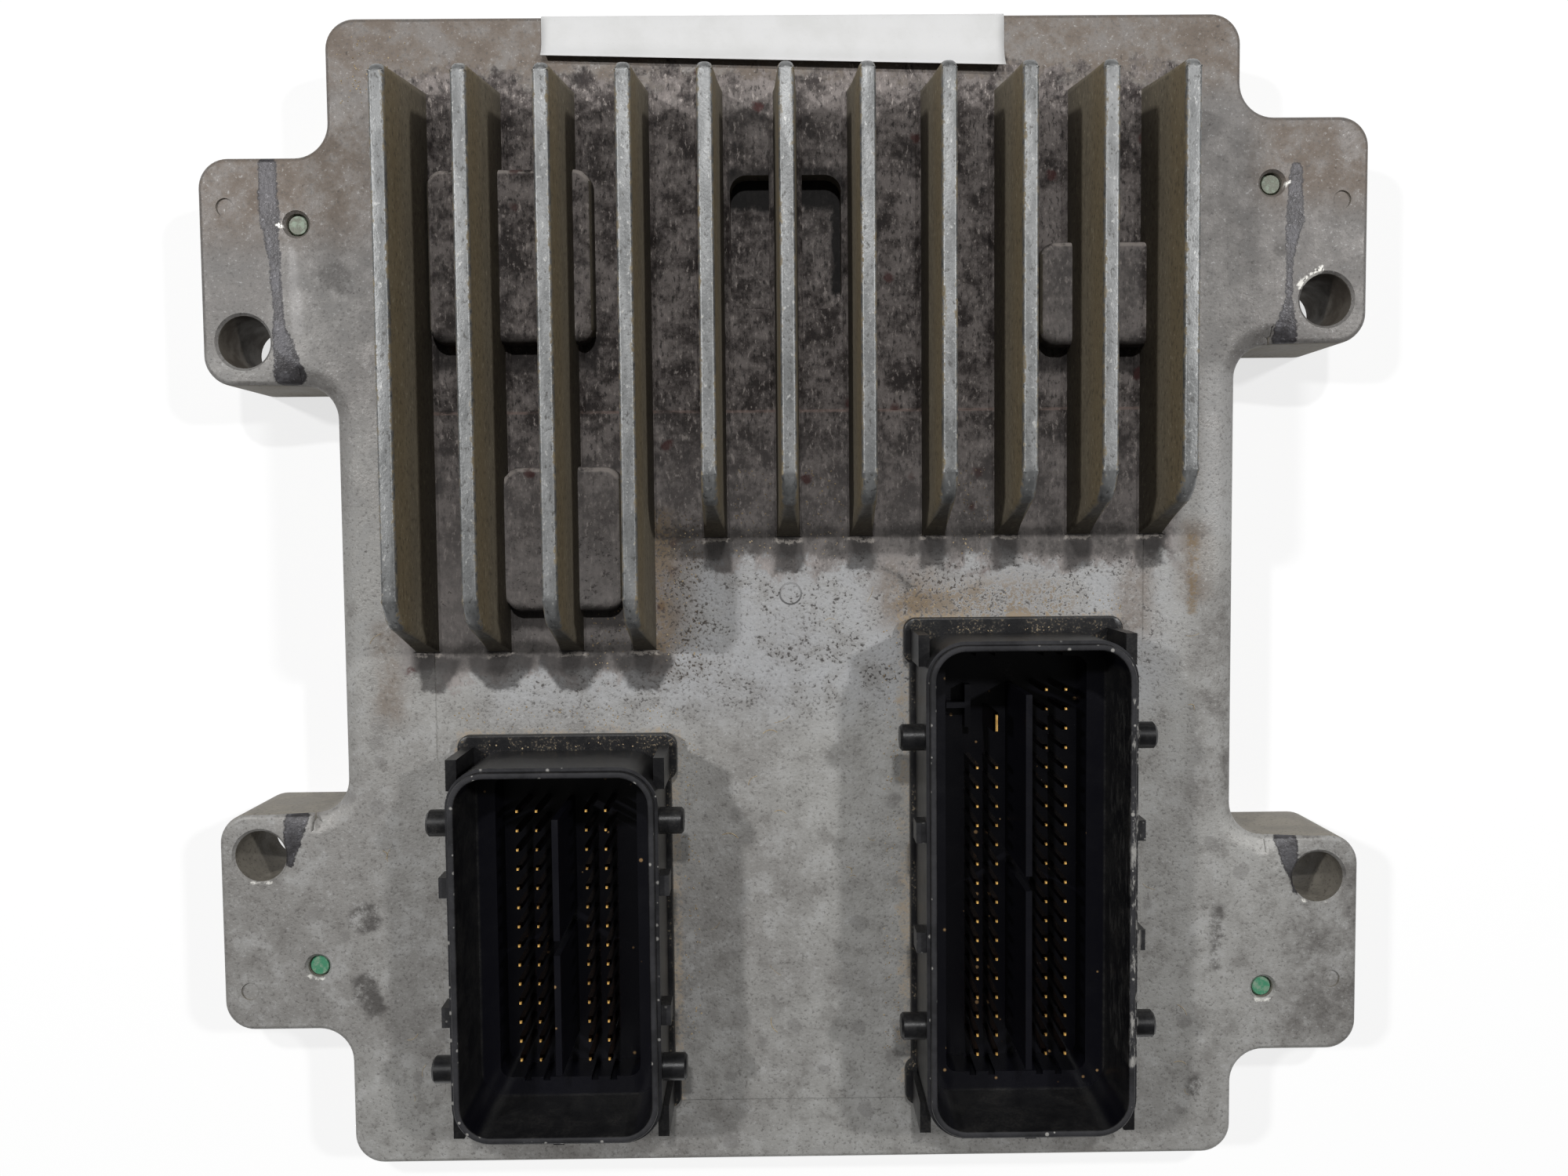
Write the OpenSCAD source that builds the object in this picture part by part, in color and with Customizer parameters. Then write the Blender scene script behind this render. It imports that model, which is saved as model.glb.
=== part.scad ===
// Engine control unit: finned die-cast housing with four mounting ears and two shrouded pin headers.
// Origin at the middle of the rear face, +Z out of the finned face, +Y towards the fins' upper ends.

/* [Housing] */
// Width of the body between the ears
body_w = 121.4; // [118:0.2:128]
// Length of the body
body_l = 155; // [152:0.5:165]
// Depth from the rear face to the plate
housing_d = 14; // [13:0.25:18]
// Thickness of the plate under the fins
plate_t = 2.4; // [2:0.1:3]
// Thickness of the side walls
wall_t = 3.2; // [3:0.1:4]
// Radius of the body's corners
corner_r = 4; // [3:0.25:6]
// Height of the flat panel that carries the headers
panel_rise = 0.4; // [0.2:0.05:0.8]
// Half the width of that panel
panel_half_w = 47.9; // [47:0.1:52]
// Upper edge of that panel
panel_top_y = 25.5; // [22:0.5:30]
// Gap from that panel to the lower edge of the body
panel_margin = 8.6; // [6:0.2:9]
// Width of the slope along the sides between the ears
side_slope_w = 2.8; // [1.5:0.1:3]
// Depth of that slope
side_slope_d = 1.2; // [0.6:0.1:3]
// Length over which that slope runs out along an ear
slope_fade = 6; // [3:0.5:8]

/* [Ears] */
// Overall width across the ears
ears_w = 156; // [154:0.5:164]
// Length of each ear
ear_l = 30; // [28:0.5:32]
// Radius of the outer corners of the ears
ear_r = 4; // [2:0.25:5]
// Radius where an ear runs into the body
ear_fillet_r = 4.5; // [2:0.25:5]
// Middle of the upper left ear
ear_ul_y = 44.5; // [42:0.5:47]
// Middle of the upper right ear
ear_ur_y = 49; // [46:0.5:51]
// Middle of the lower left ear
ear_ll_y = -43.5; // [-47:0.5:-42]
// Middle of the lower right ear
ear_lr_y = -48; // [-51:0.5:-46]
// Diameter of the mounting holes
mount_d = 7; // [5.5:0.1:7.4]
// Distance from a mounting hole to the outer edge of its ear
mount_edge = 5.5; // [5:0.1:6]
// Distance from a mounting hole to the middle of its ear
mount_offset = 9.2; // [8:0.1:9.6]
// Bevel round the mouth of a mounting hole
mount_bevel = 0.35; // [0.1:0.05:0.5]
// Diameter of the ejector marks
eject_d = 2.4; // [1.5:0.1:3.5]
// Depth of the ejector marks
eject_depth = 0.25; // [0.1:0.05:0.4]
// Distance from an ejector mark to the outer edge of its ear
eject_edge = 3.6; // [3:0.1:4.5]
// Height of the ejector marks above and below the middle of the body
eject_y = 53; // [51:0.5:54]

// Diameter of the ejector boss in the middle of the plate
eject_boss_d = 3.2; // [2:0.1:4]
// Height of the ejector boss above the panel
eject_boss_h = 0.35; // [0.2:0.05:0.6]

/* [Fins] */
// Number of fins
fin_count = 11; // [9:1:11]
// Number of long fins, counted from the left
fin_long_count = 4; // [1:1:6]
// Distance from fin to fin
fin_pitch = 9.75; // [9:0.05:10]
// Height of the fins above the plate
fin_h = 16.3; // [10:0.1:18]
// Thickness of a fin at its tip
fin_tip_t = 1.9; // [1.5:0.05:2.4]
// Thickness of a fin at its root
fin_root_t = 3.1; // [2.6:0.05:3.6]
// Fillet at the root of a fin
fin_flare = 0.7; // [0.3:0.05:1]
// Upper end of the fins at their root
fin_upper_y = 67.4; // [66:0.1:70]
// Lower end of the long fins at their root
fin_long_y = -6.6; // [-10:0.1:-4]
// Lower end of the short fins at their root
fin_short_y = 8.5; // [5:0.1:12]
// Slope of the upper end of a fin, measured along the fin
fin_upper_run = 1.9; // [1:0.1:4]
// Slope of the lower end of a fin, measured along the fin
fin_lower_run = 5.1; // [0.5:0.1:7]
// Radius of the upper corner of a fin
fin_upper_r = 1.4; // [0.8:0.1:3]
// Radius of the lower corner of a fin
fin_lower_r = 4.8; // [3:0.1:8]

/* [Raised blocks and pocket] */
// Height of the raised blocks above the plate
block_rise = 3; // [3:0.1:4]
// Radius of the corners of the raised blocks and the pocket
block_r = 2.2; // [1:0.1:3]
// Width of the capacitor block
cap_block_w = 21.6; // [21:0.2:23]
// Length of the capacitor block
cap_block_l = 22.6; // [22:0.2:24]
// Width of the choke block
choke_block_w = 15.6; // [15:0.2:17]
// Length of the choke block
choke_block_l = 19.2; // [18.4:0.2:21]
// Width of the film capacitor block
film_block_w = 15.6; // [15:0.2:17]
// Length of the film capacitor block
film_block_l = 13.6; // [13:0.2:15]
// Width of the pocket between the fins
pocket_w = 14.8; // [12:0.2:16]
// Length of the pocket between the fins
pocket_l = 17.6; // [15:0.2:19]
// Depth of the pocket
pocket_depth = 2.6; // [1:0.1:3]

/* [Headers] */
// Distance between the middles of the two headers
header_gap = 60; // [58:0.5:62]
// Lowest row of pins of both headers
row_low_y = -59.7; // [-61:0.1:-58]
// Distance from pin to pin
pin_pitch = 2.54; // [2.5:0.01:2.6]
// Distance across the middle between the two pairs of columns
column_gap = 6.46; // [5.5:0.02:7]
// Rows of pins in the left header
left_rows = 14; // [10:1:15]
// Rows of pins in the right header
right_rows = 20; // [14:1:20]
// Rows that the power blade takes the place of
blade_rows = 4; // [3:1:6]
// Thickness of a pin
pin_t = 0.64; // [0.5:0.02:0.7]
// Width of the power blade
blade_w = 2.5; // [1.5:0.1:3]
// Height of the pin tips above the header floor
pin_h = 9.1; // [6:0.1:10]
// Length of the tapered tip of a pin
pin_taper = 1.1; // [0.5:0.1:1.5]
// Width of a header at its rim
shroud_w = 26.5; // [26:0.1:28]
// Space from the lowest row to the rim's lower edge
shroud_low = 7.9; // [7:0.1:8.4]
// Space from the highest row to the rim's upper edge
shroud_high = 7; // [6.8:0.1:8]
// Height of the rim above the panel
shroud_h = 14.4; // [13:0.1:17]
// Thickness of the shroud
shroud_t = 1.25; // [1:0.05:1.6]
// Radius of the corners of the shroud
shroud_r = 5; // [4:0.25:6]
// Depth from the rim to the ledge round the well
ledge_depth = 11; // [9:0.1:11]
// Half the width of the well that holds the pins
well_half_w = 9.4; // [8.6:0.1:9.8]
// Space from the outer rows to the ends of the well
well_end = 4; // [3:0.1:4.4]
// Depth of the well below the ledge
well_depth = 5.3; // [4:0.1:6]
// Thickness of the header floor
floor_t = 2; // [1.5:0.1:2.4]
// Thickness of the flange
flange_t = 1.2; // [1:0.1:1.6]
// Reach of the flange past the shroud at the sides
flange_side = 1.45; // [1:0.05:2]
// Reach of the flange past the shroud at the lower end
flange_low = 1.4; // [0.8:0.1:2]
// Reach of the flange past the shroud at the upper end
flange_high = 2.1; // [1:0.1:2.4]
// Length of the wide lobes at the two ends of the flange
flange_lobe_l = 6.3; // [5:0.1:9]
// Step from the lobes to the sides of the flange
flange_step = 0.8; // [0.4:0.1:0.9]
// Thickness of the seal under the flange
seal_t = 0.8; // [0.5:0.1:1.2]
// Thickness of the divider rib between the columns
rib_t = 0.8; // [0.6:0.05:1.2]
// Depth of the divider rib below the rim
rib_below_rim = 2.8; // [2:0.1:4]
// Break in the middle of the divider rib
rib_break = 1.9; // [1:0.1:3]
// Diameter of the cam pegs
peg_d = 3.4; // [2.5:0.1:4]
// Length of the cam pegs
peg_l = 3; // [2:0.1:4]
// Depth of the cam pegs below the rim
peg_below_rim = 4; // [3:0.1:5]
// Distance between the cam pegs of the left header
left_peg_gap = 32; // [28:0.5:34]
// Distance between the cam pegs of the right header
right_peg_gap = 37.4; // [34:0.5:44]
// Distance between the side catches of the left header
left_catch_gap = 16.6; // [12:0.2:20]
// Distance between the side catches of the right header
right_catch_gap = 14; // [10:0.2:20]
// Reach of the catches on the sides
side_catch = 1.2; // [0.8:0.1:1.6]
// Length of the catches on the sides
side_catch_l = 2.6; // [1.5:0.1:4]
// Reach of the catch on the lower end
end_catch = 0.5; // [0.3:0.1:1]
// Length of the catch on the lower end
end_catch_l = 1.4; // [1:0.1:3]
// Width of the notches in the ends of the well, one for each column of pins
notch_w = 0.9; // [0.6:0.05:1.2]
// Depth of those notches
notch_depth = 0.5; // [0.3:0.05:0.8]
// Height of the walls beside the power blade
blade_wall_h = 2.2; // [1:0.1:4]

/* [Cover and screws] */
// Thickness of the rear cover
cover_t = 2; // [1.8:0.1:2.4]
// Gap round the rear cover
cover_clear = 0.3; // [0.1:0.05:0.5]
// Diameter of the thread of the cover screws
cover_screw_d = 2.9; // [2.5:0.1:3.2]
// Diameter of the heads of the cover screws
cover_head_d = 5.6; // [5:0.1:6]
// Distance from a cover screw to the outer edge of its ear
cover_screw_edge = 13; // [12.5:0.1:13.5]
// Distance from a cover screw to the middle of its ear
cover_screw_offset = 6.2; // [5.5:0.1:7]
// Depth of the screw tips below the face of the ear
screw_tip_depth = 0.6; // [0.2:0.1:1.5]
// Width of the sealing bead
bead_w = 1.2; // [0.8:0.1:1.4]
// Height of the sealing bead
bead_h = 0.9; // [0.6:0.1:1.2]

/* [Board and what is on it] */
// Thickness of the circuit board
board_t = 1.6; // [1.2:0.1:1.8]
// Gap between the board and the rear cover
board_gap = 2; // [2:0.1:2.4]
// Gap between the board and the walls
board_clear = 1.5; // [1:0.1:2]
// Diameter of the thread of the board screws
board_screw_d = 2.4; // [2:0.1:3]
// Diameter of the heads of the board screws
board_head_d = 4.6; // [4:0.1:5]
// Diameter of the bosses that hold the board
boss_d = 6.5; // [6:0.1:7.5]
// Height of the power chips above the board
chip_h = 2.4; // [1.8:0.1:2.8]
// Thickness of the thermal pads
pad_t = 0.6; // [0.4:0.1:1]
// Diameter of the electrolytic capacitors
can_d = 7.6; // [6:0.1:7.8]
// Height of the tall parts under the raised blocks
tall_h = 7.8; // [6:0.1:8]

/* [Hidden] */

// Roundness of turned shapes, and a small overshoot for cuts
$fn = 48;
eps = 0.05;
slip = 0.05;

// Levels above the rear face
plate_z = housing_d;
panel_z = plate_z + panel_rise;
rim_z = panel_z + shroud_h;
ledge_z = rim_z - ledge_depth;
floor_z = ledge_z - well_depth;
pin_tip_z = floor_z + pin_h;
flange_z = panel_z + seal_t;
board_z = cover_t + board_gap;
board_top = board_z + board_t;
ceiling_z = plate_z - plate_t;
pedestal_z = board_top + chip_h + pad_t;

// Cavity and board outlines
cavity_w = body_w - 2 * wall_t;
cavity_l = body_l - 2 * wall_t;
cavity_r = corner_r - 1;
board_w = cavity_w - 2 * board_clear;
board_l = cavity_l - 2 * board_clear;
board_r = 2;

// Each ear: side of the body, middle, and the way from its middle to the middle of the unit
EARS = [[-1, ear_ul_y], [1, ear_ur_y], [-1, ear_ll_y], [1, ear_lr_y]];
ear_half = ears_w / 2;
function inward(y) = y > 0 ? -1 : 1;
function mount_at(e) = [e[0] * (ear_half - mount_edge), e[1] + inward(e[1]) * mount_offset];
function cover_screw_at(e) =
    [e[0] * (ear_half - cover_screw_edge), e[1] - inward(e[1]) * cover_screw_offset];
function eject_at(e) = [e[0] * (ear_half - eject_edge), -inward(e[1]) * eject_y];
eject_boss_at = [0.2, 1];
eject_boss_slope = 0.3;
ear_hide = 8;
tab_r = cover_head_d / 2 + 2;
screw_hole_d = cover_screw_d + 2 * slip;
dimple_d = screw_hole_d + 0.8;
dimple_depth = 0.4;
head_drop = cover_head_d / 2 - cover_screw_d / 2;
head_sink = 0.1;
screw_point = 0.5;
drive_depth = 0.8;

// Fins
function fin_x(i) = (i - (fin_count - 1) / 2) * fin_pitch;
function fin_low(i) = i < fin_long_count ? fin_long_y : fin_short_y;
fin_sink = 1;

// Raised blocks and pocket: middle, and size
cap_block = [[-36.2, 45.7], [cap_block_w, cap_block_l]];
choke_block = [[-29.9, 8.6], [choke_block_w, choke_block_l]];
film_block = [[41.2, 40.3], [film_block_w, film_block_l]];
BLOCKS = [cap_block, choke_block, film_block];
pocket_at = [0, 47.9];

// Chips between the headers: middle, and size
micro_chip = [[0, -22], [20, 20]];
micro_h = 1.6;
micro_pitch = 1;
memory = [[0, 4], [10, 8]];
crystal_can = [[0, row_low_y + 1.7], [4.6, 11]];
crystal_h = 3.4;
crystal_r = 2.2;
transceiver_size = [4, 5];
transceiver_x = 9;
transceiver_y = row_low_y - 0.3;
small_chip_h = 1.5;
lead_pitch = 1.27;

// Power chips: middle and size, and the pedestal that takes their heat
power_chip_size = [9.6, 12];
power_chip_x = 5.6;
power_chip_y = 48;
supply_chip = [[-power_chip_x, power_chip_y], power_chip_size];
throttle_chip = [[power_chip_x, power_chip_y], power_chip_size];
injector_chip = [[22, 46], [11, 16]];
ignition_row_y = 20;
ignition_count = 4;
ignition_pitch = 10;
ignition_x = 22;
ignition_size = [6.6, 6.1];
ignition_lead_pitch = 1.5;
pedestal_rim = 1.2;
PEDESTALS = [
    [[0, power_chip_y], power_chip_size + [2 * power_chip_x + 2 * pedestal_rim, 2 * pedestal_rim]],
    [injector_chip[0], injector_chip[1] + 2 * [pedestal_rim, pedestal_rim]],
    [[ignition_x, ignition_row_y],
        [(ignition_count - 1) * ignition_pitch + ignition_size[0] + 2 * pedestal_rim,
            ignition_size[1] + 2 * pedestal_rim]]];

// Bosses for the board, kept clear of the headers
boss_inset = 5;
BOSSES = concat(
    [for (sx = [-1, 1], sy = [-1, 1])
        [sx * (board_w / 2 - boss_inset), sy * (board_l / 2 - boss_inset)]],
    [[0, -45], [-8, 26]]);
boss_roof = 0.8;
boss_hole_top = ceiling_z - boss_roof;
board_head_h = 1.5;

// Headers: middle, rows, and the row where each pair of columns stops
COLUMNS = [for (s = [-1, 1], c = [0, 1]) s * (column_gap / 2 + c * pin_pitch)];
function row_y(r) = row_low_y + r * pin_pitch;
function field_mid(rows) = (row_y(0) + row_y(rows - 1)) / 2;
left_x = -header_gap / 2;
right_x = header_gap / 2;
right_short_rows = right_rows - blade_rows;
blade_at = [right_x - column_gap / 2, row_y(right_rows - 2.7)];
pin_hole_d = pin_t * sqrt(2) + 2 * slip;
pin_tail = 1;
skirt_t = 1.3;
opening_clear = 0.4;
well_r = 1.5;
flange_r = 1.6;

// Rounded rectangle from its low and high corners
module plate_2d(low, high, r) {
    size = high - low;
    translate(low + [r, 0]) square(size - [2 * r, 0]);
    translate(low + [0, r]) square(size - [0, 2 * r]);
    for (x = [low[0] + r, high[0] - r], y = [low[1] + r, high[1] - r])
        translate([x, y]) circle(r);
}

// Rounded rectangle about the origin
module rounded_2d(w, l, r) {
    plate_2d([-w / 2, -l / 2], [w / 2, l / 2], r);
}

// Concave corner that fills the angle on the +X +Y side of the origin
module fillet_2d(r) {
    difference() {
        translate([-eps, -eps]) square(r + eps);
        translate([r, r]) circle(r);
    }
}

// One ear, with the fillets that run it into the body
module ear_2d(e) {
    mirror([e[0] < 0 ? 1 : 0, 0]) translate([0, e[1]]) {
        plate_2d([body_w / 2 - ear_hide, -ear_l / 2], [ear_half, ear_l / 2], ear_r);
        for (up = [0, 1])
            mirror([0, up]) translate([body_w / 2, ear_l / 2]) fillet_2d(ear_fillet_r);
    }
}

// Outline of the rear cover: the body with a tab for each screw
module cover_2d(gap) {
    rounded_2d(body_w + 2 * gap, body_l + 2 * gap, corner_r + gap);
    for (e = EARS) {
        at = cover_screw_at(e);
        translate(at) circle(tab_r + gap);
        translate([e[0] > 0 ? 0 : at[0], at[1] - tab_r - gap])
            square([abs(at[0]), 2 * (tab_r + gap)]);
    }
}

// Side view of a fin: trapezium with its two upper corners rounded, y along the fin and z up
module fin_profile(low, high) {
    tip_low = low + fin_lower_run;
    tip_high = high - fin_upper_run;
    low_len = sqrt(fin_lower_run * fin_lower_run + fin_h * fin_h);
    high_len = sqrt(fin_upper_run * fin_upper_run + fin_h * fin_h);
    low_c = tip_low + fin_lower_r * (low_len - fin_lower_run) / fin_h;
    high_c = tip_high - fin_upper_r * (high_len - fin_upper_run) / fin_h;
    low_n = [-fin_h, fin_lower_run] / low_len;
    high_n = [fin_h, fin_upper_run] / high_len;
    low_mid = [low_c, fin_h - fin_lower_r];
    high_mid = [high_c, fin_h - fin_upper_r];
    intersection() {
        translate([low, -fin_sink]) square([high - low, fin_h + fin_sink]);
        union() {
            polygon([[low, -fin_sink], [low, 0], low_mid + fin_lower_r * low_n, low_mid,
                [low_c, fin_h], [high_c, fin_h], high_mid, high_mid + fin_upper_r * high_n,
                [high, 0], [high, -fin_sink]]);
            translate(low_mid) circle(fin_lower_r);
            translate(high_mid) circle(fin_upper_r);
        }
    }
}

// Cross-section of a fin: drafted sides with a small fillet at the root
module fin_section() {
    half_root = fin_root_t / 2;
    half_foot = half_root + fin_flare;
    half_tip = fin_tip_t / 2;
    polygon([[-half_foot, -fin_sink], [-half_foot, 0], [-half_root, fin_flare], [-half_tip, fin_h],
        [half_tip, fin_h], [half_root, fin_flare], [half_foot, 0], [half_foot, -fin_sink]]);
}

module fin(i) {
    low = fin_low(i);
    translate([fin_x(i), 0, plate_z]) intersection() {
        translate([-fin_pitch / 2, 0, 0]) rotate([90, 0, 90])
            linear_extrude(fin_pitch) fin_profile(low, fin_upper_y);
        translate([0, fin_upper_y + eps, 0]) rotate([90, 0, 0])
            linear_extrude(fin_upper_y - low + 2 * eps) fin_section();
    }
}

// A box of given size on a middle, between two levels
module slab(box, low, high, r) {
    translate([box[0][0], box[0][1], low]) linear_extrude(high - low)
        rounded_2d(box[1][0], box[1][1], r);
}

// Section of the cut for a side's slope, outward from a ridge at a given distance
module slope_2d(ridge) {
    polygon([[ridge, 0], [ridge, 1], [ridge - side_slope_w - 1, 1],
        [ridge - side_slope_w - 1, -side_slope_d], [ridge - side_slope_w, -side_slope_d]]);
}

// Cut by a tilted plane that lets the slope run out along an ear's edge
module slope_end() {
    start = side_slope_w - eps;
    across = atan2(slope_fade, start);
    tilt = atan(side_slope_d * sqrt(1 / pow(slope_fade, 2) + 1 / pow(start, 2)));
    reach = 3 * slope_fade;
    intersection() {
        translate([0, -eps, -2 * side_slope_d])
            cube([slope_fade, side_slope_w + eps, 4 * side_slope_d]);
        translate([0, 0, -side_slope_d]) rotate([0, 0, across]) rotate([0, -tilt, 0])
            translate([-reach, -reach, 0]) cube([2 * reach, 2 * reach, reach]);
    }
}

// Slope along a side between its two ears, turned into the fillet of each
module side_slope(sx, low, high) {
    mirror([sx < 0 ? 1 : 0, 0, 0]) translate([body_w / 2 + ear_fillet_r, 0, plate_z]) {
        translate([0, high, 0]) rotate([90, 0, 0]) linear_extrude(high - low)
            mirror([1, 0, 0]) slope_2d(ear_fillet_r + side_slope_w);
        translate([0, high, 0]) {
            rotate([0, 0, 90]) rotate_extrude(angle = 90) slope_2d(ear_fillet_r + side_slope_w);
            translate([0, ear_fillet_r, 0]) slope_end();
        }
        translate([0, low, 0]) mirror([0, 1, 0]) {
            rotate([0, 0, 90]) rotate_extrude(angle = 90) slope_2d(ear_fillet_r + side_slope_w);
            translate([0, ear_fillet_r, 0]) slope_end();
        }
    }
}

// Opening in the plate for one header
module header_opening(x, rows, gap) {
    plate_2d([x - well_half_w - skirt_t - gap, row_y(0) - well_end - skirt_t - gap],
        [x + well_half_w + skirt_t + gap, row_y(rows - 1) + well_end + skirt_t + gap],
        well_r + skirt_t + gap);
}

module housing_solid() {
    translate([0, 0, cover_t]) linear_extrude(plate_z - cover_t) {
        rounded_2d(body_w, body_l, corner_r);
        for (e = EARS)
            ear_2d(e);
    }
    linear_extrude(cover_t + eps) difference() {
        for (e = EARS)
            ear_2d(e);
        cover_2d(cover_clear);
    }
    translate([0, 0, plate_z - eps]) linear_extrude(panel_rise + eps)
        plate_2d([-panel_half_w, -body_l / 2 + panel_margin], [panel_half_w, panel_top_y], block_r);
    translate(concat(eject_boss_at, panel_z - eps))
        cylinder(d1 = eject_boss_d, d2 = eject_boss_d - 2 * eject_boss_slope, h = eject_boss_h + eps);
    for (b = BLOCKS)
        slab(b, plate_z - eps, plate_z + block_rise, block_r);
    for (i = [0:fin_count - 1])
        fin(i);
}

module housing_cavity() {
    translate([0, 0, cover_t - eps]) linear_extrude(ceiling_z - cover_t + eps) difference() {
        rounded_2d(cavity_w, cavity_l, cavity_r);
        for (p = BOSSES)
            translate(p) circle(d = boss_d);
    }
    for (b = BLOCKS)
        slab([b[0], b[1] - 2 * [plate_t, plate_t]], ceiling_z - eps,
            plate_z + block_rise - plate_t, block_r / 2);
}

// The bosses stop on the board and the pedestals on the thermal pads
module board_room() {
    translate([0, 0, cover_t - eps]) linear_extrude(board_top - cover_t + eps)
        rounded_2d(cavity_w, cavity_l, cavity_r);
}

module housing_pedestals() {
    for (p = PEDESTALS)
        slab(p, pedestal_z, ceiling_z + eps, block_r / 2);
    slab([pocket_at, [pocket_w, pocket_l] + 2 * [plate_t, plate_t]],
        plate_z - pocket_depth - plate_t, ceiling_z + eps, block_r);
}

// Pocket in the plate, left clear by the fins that cross it
module pocket() {
    difference() {
        slab([pocket_at, [pocket_w, pocket_l]], plate_z - pocket_depth, plate_z + eps, block_r);
        for (i = [0:fin_count - 1])
            translate([fin_x(i) - fin_root_t / 2, fin_low(i), plate_z - pocket_depth - eps])
                cube([fin_root_t, fin_upper_y - fin_low(i), pocket_depth + 3 * eps]);
    }
}

// Line that the sealing bead follows, in the middle of the walls
module bead_2d() {
    mid_w = body_w - wall_t;
    mid_l = body_l - wall_t;
    mid_r = corner_r - wall_t / 2;
    difference() {
        rounded_2d(mid_w + bead_w, mid_l + bead_w, mid_r + bead_w / 2);
        rounded_2d(mid_w - bead_w, mid_l - bead_w, mid_r - bead_w / 2);
    }
}

module housing() {
    color("darkgray") difference() {
        union() {
            difference() {
                housing_solid();
                housing_cavity();
                board_room();
                for (sx = [-1, 1]) {
                    ys = [for (e = EARS) if (e[0] == sx) e[1]];
                    side_slope(sx, ys[1] + ear_l / 2 + ear_fillet_r, ys[0] - ear_l / 2 - ear_fillet_r);
                }
            }
            housing_pedestals();
        }
        for (e = EARS) {
            translate(concat(mount_at(e), -eps)) cylinder(d = mount_d, h = plate_z + 2 * eps);
            translate(concat(mount_at(e), plate_z - mount_bevel))
                cylinder(d1 = mount_d, d2 = mount_d + 2 * mount_bevel + 2 * eps, h = mount_bevel + eps);
            translate(concat(cover_screw_at(e), 0)) cylinder(d = screw_hole_d, h = plate_z + eps);
            translate(concat(cover_screw_at(e), plate_z - dimple_depth))
                cylinder(d1 = screw_hole_d, d2 = dimple_d, h = dimple_depth + eps);
            translate(concat(eject_at(e), plate_z - eject_depth))
                cylinder(d = eject_d, h = eject_depth + eps);
        }
        for (p = BOSSES)
            translate(concat(p, cover_t))
                cylinder(d = board_screw_d + 2 * slip, h = boss_hole_top - cover_t);
        pocket();
        for (h = [[left_x, left_rows], [right_x, right_rows]])
            translate([0, 0, cover_t]) linear_extrude(panel_z - cover_t + eps)
                header_opening(h[0], h[1], opening_clear);
        translate([0, 0, cover_t - eps]) linear_extrude(bead_h + eps) bead_2d();
    }
}

module rear_cover() {
    seat_d = cover_head_d + 2 * slip;
    color("silver") difference() {
        linear_extrude(cover_t) cover_2d(0);
        for (e = EARS)
            translate(concat(cover_screw_at(e), 0)) {
                translate([0, 0, -eps]) cylinder(d = screw_hole_d, h = cover_t + 2 * eps);
                translate([0, 0, -eps]) cylinder(d = seat_d, h = head_sink + eps);
                translate([0, 0, head_sink]) cylinder(d1 = seat_d, d2 = screw_hole_d, h = head_drop);
            }
    }
}

module cover_seal() {
    color("dimgray") translate([0, 0, cover_t]) linear_extrude(bead_h) bead_2d();
}

// Countersunk screw along +Z with a six-sided drive, head at the origin
module countersunk_screw(len) {
    difference() {
        union() {
            cylinder(d1 = cover_head_d, d2 = cover_screw_d, h = head_drop);
            cylinder(d = cover_screw_d, h = len - screw_point);
            translate([0, 0, len - screw_point])
                cylinder(d1 = cover_screw_d, d2 = cover_screw_d - screw_point, h = screw_point);
        }
        translate([0, 0, -eps]) cylinder(d = cover_screw_d, h = drive_depth + eps, $fn = 6);
    }
}

module cover_screws() {
    color("darkseagreen") for (e = EARS)
        translate(concat(cover_screw_at(e), head_sink))
            countersunk_screw(plate_z - screw_tip_depth - head_sink);
}

// Shroud outline of a header, grown or shrunk by a gap
module shroud_2d(x, rows, gap) {
    plate_2d([x - shroud_w / 2 - gap, row_y(0) - shroud_low - gap],
        [x + shroud_w / 2 + gap, row_y(rows - 1) + shroud_high + gap], shroud_r + gap);
}

module well_2d(x, rows) {
    plate_2d([x - well_half_w, row_y(0) - well_end],
        [x + well_half_w, row_y(rows - 1) + well_end], well_r);
}

// Flange outline: full width at its two ends, narrower along the sides
module flange_2d(x, rows, gap) {
    low = row_y(0) - shroud_low - flange_low + gap;
    high = row_y(rows - 1) + shroud_high + flange_high - gap;
    half = shroud_w / 2 + flange_side - gap;
    plate_2d([x - half, low], [x + half, low + flange_lobe_l - 2 * gap], flange_r);
    plate_2d([x - half, high - flange_lobe_l + 2 * gap], [x + half, high], flange_r);
    translate([x - half + flange_step, low + flange_r])
        square([2 * (half - flange_step), high - low - 2 * flange_r]);
}

// Cam peg along +X from the shroud's side, with a small bevel on its end
module cam_peg() {
    bevel = 0.3;
    root = shroud_t / 2;
    translate([-root, 0, 0]) rotate([0, 90, 0]) {
        cylinder(d = peg_d, h = peg_l + root - bevel);
        translate([0, 0, peg_l + root - bevel])
            cylinder(d1 = peg_d, d2 = peg_d - 2 * bevel, h = bevel);
    }
}

// Guide rail beside a corner of the shroud, standing on the flange
module guide_rail(top) {
    rail_t = 1.4;
    rail_l = 4;
    rail_in = 0.8;
    translate([-rail_in, -rail_l / 2, flange_z]) cube([rail_t, rail_l, top - flange_z]);
}

// Small catch below the rim, on the +X side of the origin
module catch(reach, len) {
    catch_h = 3;
    below_rim = 1.6;
    root = shroud_t / 2;
    translate([-root, -len / 2, rim_z - below_rim - catch_h]) cube([reach + root, len, catch_h]);
}

// Upright grooves in both ends of the well, in line with the columns of pins
module well_notches(x, rows) {
    for (c = COLUMNS, y = [row_y(0) - well_end - notch_depth, row_y(rows - 1) + well_end - eps])
        translate([x + c - notch_w / 2, y, floor_z])
            cube([notch_w, notch_depth + eps, ledge_z - floor_z + eps]);
}

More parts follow.
